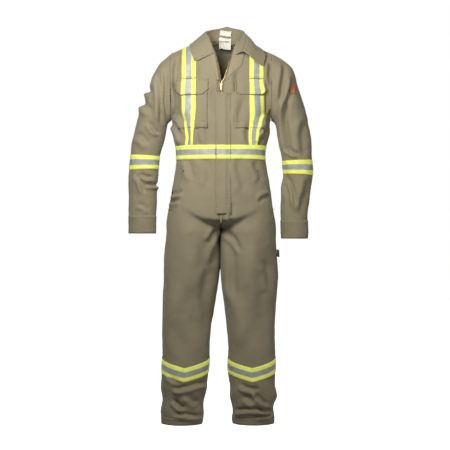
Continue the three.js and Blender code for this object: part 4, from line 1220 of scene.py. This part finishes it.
ROLL = 0.12                                # share of the leaf that rolls over the top of the stand
u, v = grid(110, 26)
q = lerp(-1, 1, u)
fall = np.clip((v - ROLL) / (1 - ROLL), 0, 1)
x, swing = neck_place(q)
spread = np.where(q < 0, 0.12, 0.20) * smooth((np.abs(q) - 0.5) / 0.4)
heading = np.sign(q) * np.minimum(np.abs(q) * np.pi, np.pi / 2 + spread)
reach = (lerp(44, 80, smooth((np.abs(q) - 0.3) / 0.6)) + 1.25 * stand_flare(q)) * fall
far_x, far_swing = x + reach * np.sin(heading), swing + reach * np.cos(heading) / 150.5
step = 1e-3
ground = shoulder_sweep(far_x, far_swing)
normal = np.cross(shoulder_sweep(far_x + step, far_swing) - shoulder_sweep(far_x - step, far_swing),
                  shoulder_sweep(far_x, far_swing + step) - shoulder_sweep(far_x, far_swing - step))
normal /= np.linalg.norm(normal, axis=-1, keepdims=True)
normal *= np.where(normal[..., 2:] < 0, -1, 1)
rest = smooth(fall)[..., None]
leaf = ground + outward_at(q) * (5.0 + stand_flare(q))[..., None] * (1 - rest) + normal * 7.4 * rest
leaf[..., 2] += (STAND_BASE + stand_height(q)) * (1 - rest[..., 0])
inside = np.clip(1 - v / ROLL, 0, 1)
leaf -= outward_at(q) * (5.5 * smooth(inside))[..., None]
leaf[..., 2] += 2.2 * np.sin(np.clip(v / (2 * ROLL), 0, 1) * np.pi) - 5 * inside
leaf += normal * (1.6 * waves(leaf, 90, 11) * fall * (0.4 + np.abs(q)))[..., None]
leaf[..., 0] += COLLAR_LEAN * stand_height(q) * (1 - rest[..., 0])
sewn("collar_fall", leaf, PLAIN, 1.8, "tlr", (0, 0, 1), body="shell", replaces=["collar_leaf"])

# %% Labels and loop
LABEL_HALF, LABEL_SHIFT = 28, 18
u, v = grid(14, 8)
q = (lerp(-LABEL_HALF, LABEL_HALF, u) + LABEL_SHIFT) / (NECK_HALF * np.pi)
size_label = neck_line(q) - outward_at(q) * 2.6
size_label[..., 2] += STAND_BASE + lerp(24, 46, v)
sewn("size_label_blank", size_label, LABEL, 0.5, body="shell", replaces=["neck_label"])
u, v = grid(14, 12)
q = (lerp(-LABEL_HALF, LABEL_HALF, u) + LABEL_SHIFT) / (NECK_HALF * np.pi)
care = neck_line(q) - outward_at(q) * (3.4 + 3.0 * (1 - v) + 1.2 * np.sin(v * np.pi))[..., None]
care[..., 2] += STAND_BASE + lerp(-32, 16, v)
sewn("care_label_blank", care, LABEL, 0.5, body="shell", replaces=["care_label"])

# %% Hanger loop
LOOP_HALF, LOOP_FOOT, LOOP_DEPTH, LOOP_WIDTH = 28.5, 17.5, 3.2, 7.0
u, v = grid(4, 40)
angle = np.pi * np.clip((v - 0.2) / 0.6, 0, 1)
line_x = -LOOP_HALF * np.cos(angle)
line_x = np.sign(line_x) * np.minimum(LOOP_HALF, np.abs(line_x) * 1.25)
end = np.maximum(0, np.abs(2 * v - 1) - 0.6) / 0.4         # 1 at each sewn foot, 0 along the loop itself
line_y = lerp(LOOP_DEPTH - LOOP_DEPTH * np.sin(angle) ** 0.5, LOOP_FOOT, end)
run = np.gradient(np.stack([line_x[:, 0], line_y[:, 0]], -1), axis=0)
run /= np.linalg.norm(run, axis=1, keepdims=True)
side_way = np.stack([-run[:, 1], run[:, 0]], -1)[:, None, :]
plan = np.stack([line_x, line_y], -1) + side_way * (LOOP_WIDTH * (u - 0.5))[..., None]
level = np.full(plan.shape[:-1] + (1,), LOOP_Z + 1.6)
loop_points = np.concatenate([plan + np.array([0, LOOP_Y]), level], -1)
sewn("hanging_loop", loop_points, DOUBLED, 1.5, "lr", (0, 0, 1), body="shell", replaces=["hanger_loop"])

# %% [markdown]
# ## Bar tacks
# A bar tack is a short dense row of thread that stops a pocket from tearing. Each is a small raised bar.

# %% Bar tacks, as (x, z, length, lift)
THREAD = plain_weave("tack_thread", shade(KHAKI, 0.62), 0.0008), "khaki_cloth"
ON_POCKET, ON_HIP = POCKET_LIFT + 1.6, 3.6
TACKS = [(62, 1362, 8, ON_POCKET), (172, 1362, 8, ON_POCKET), (66, 1238, 7, ON_POCKET),
         (74, 1238, 7, ON_POCKET), (150, 1040, 9, ON_HIP), (212, 884, 9, ON_HIP)]
for name, side in SIDES.items():
    for k, (x, z, long, lift) in enumerate(TACKS):
        u, v = grid(4, 3)
        bar = on_trunk(side, FRONT, x + long * (u - 0.5), z + 2.2 * (v - 0.5), lift)
        sewn(f"tack_{name}_{k}", bar, THREAD, 0.7, "", body="shell")

# %% [markdown]
# ## Studio
# A pale floor just below the hems and broad soft lights from above and in front, as for a catalogue.

# %% Floor, light and camera
FLOOR_RADIUS, FLOOR_GAP = 9, 0.05
floor_maker = bmesh.new()
bmesh.ops.create_circle(floor_maker, cap_ends=True, segments=96, radius=FLOOR_RADIUS)
bmesh.ops.translate(floor_maker, verts=floor_maker.verts, vec=(0, 0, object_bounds()[0].z - FLOOR_GAP))
floor = linked("floor", floor_maker)
pale = Finish("pale_floor", Roughness=0.9, Base_Color=(0.92, 0.92, 0.92, 1),
              Emission_Color=(1, 1, 1, 1), Emission_Strength=0.9)
floor.data.materials.append(pale.material)
floor.visible_diffuse = False


def soft_light(name, place, aim, size, power):
    lamp = bpy.data.lights.new(name, "AREA")
    lamp.shape, lamp.size, lamp.energy = "DISK", size, power
    light = bpy.data.objects.new(name, lamp)
    light.location = place
    light.rotation_euler = (Vector(aim) - Vector(place)).to_track_quat("-Z", "Y").to_euler()
    bpy.context.scene.collection.objects.link(light)


chest = tuple(to_frame((0, 0, 1330)))
soft_light("key", (-0.40, -1.25, 0.15), chest, 0.7, 24.5)
soft_light("fill", (1.4, -2.2, 0.2), chest, 1.2, 18)
soft_light("back", (0.3, 2.4, 1.2), chest, 2.0, 50)
world = bpy.data.worlds.new("studio")
bpy.context.scene.world = world
world.use_nodes = True
nodes, wires = world.node_tree.nodes, world.node_tree.links
# What the camera sees behind the garment is brighter than the light that falls on it.
falling, seen = nodes["Background"], nodes.new("ShaderNodeBackground")
for sky, strength in ((falling, 0.16), (seen, 1.0)):
    sky.inputs[0].default_value, sky.inputs[1].default_value = (1, 1, 1, 1), strength
chooser, ray = nodes.new("ShaderNodeMixShader"), nodes.new("ShaderNodeLightPath")
wires.new(ray.outputs["Is Camera Ray"], chooser.inputs[0])
wires.new(falling.outputs[0], chooser.inputs[1])
wires.new(seen.outputs[0], chooser.inputs[2])
wires.new(chooser.outputs[0], nodes["World Output"].inputs[0])

PICTURE_WIDTH = 1.845                      # metres across the picture at the garment
camera_data = bpy.data.cameras.new("camera")
camera_data.lens, camera_data.sensor_width = 100, 36
camera = bpy.data.objects.new("camera", camera_data)
aim = Vector(to_frame((16, -40, 820)))
camera.location = aim + Vector((0, -PICTURE_WIDTH * camera_data.lens / camera_data.sensor_width, 0))
camera.rotation_euler = (math.pi / 2, 0, 0)
bpy.context.scene.collection.objects.link(camera)
bpy.context.scene.camera = camera
bpy.context.scene.view_settings.view_transform = "Standard"

# %% Update the scene
bpy.context.view_layer.update()
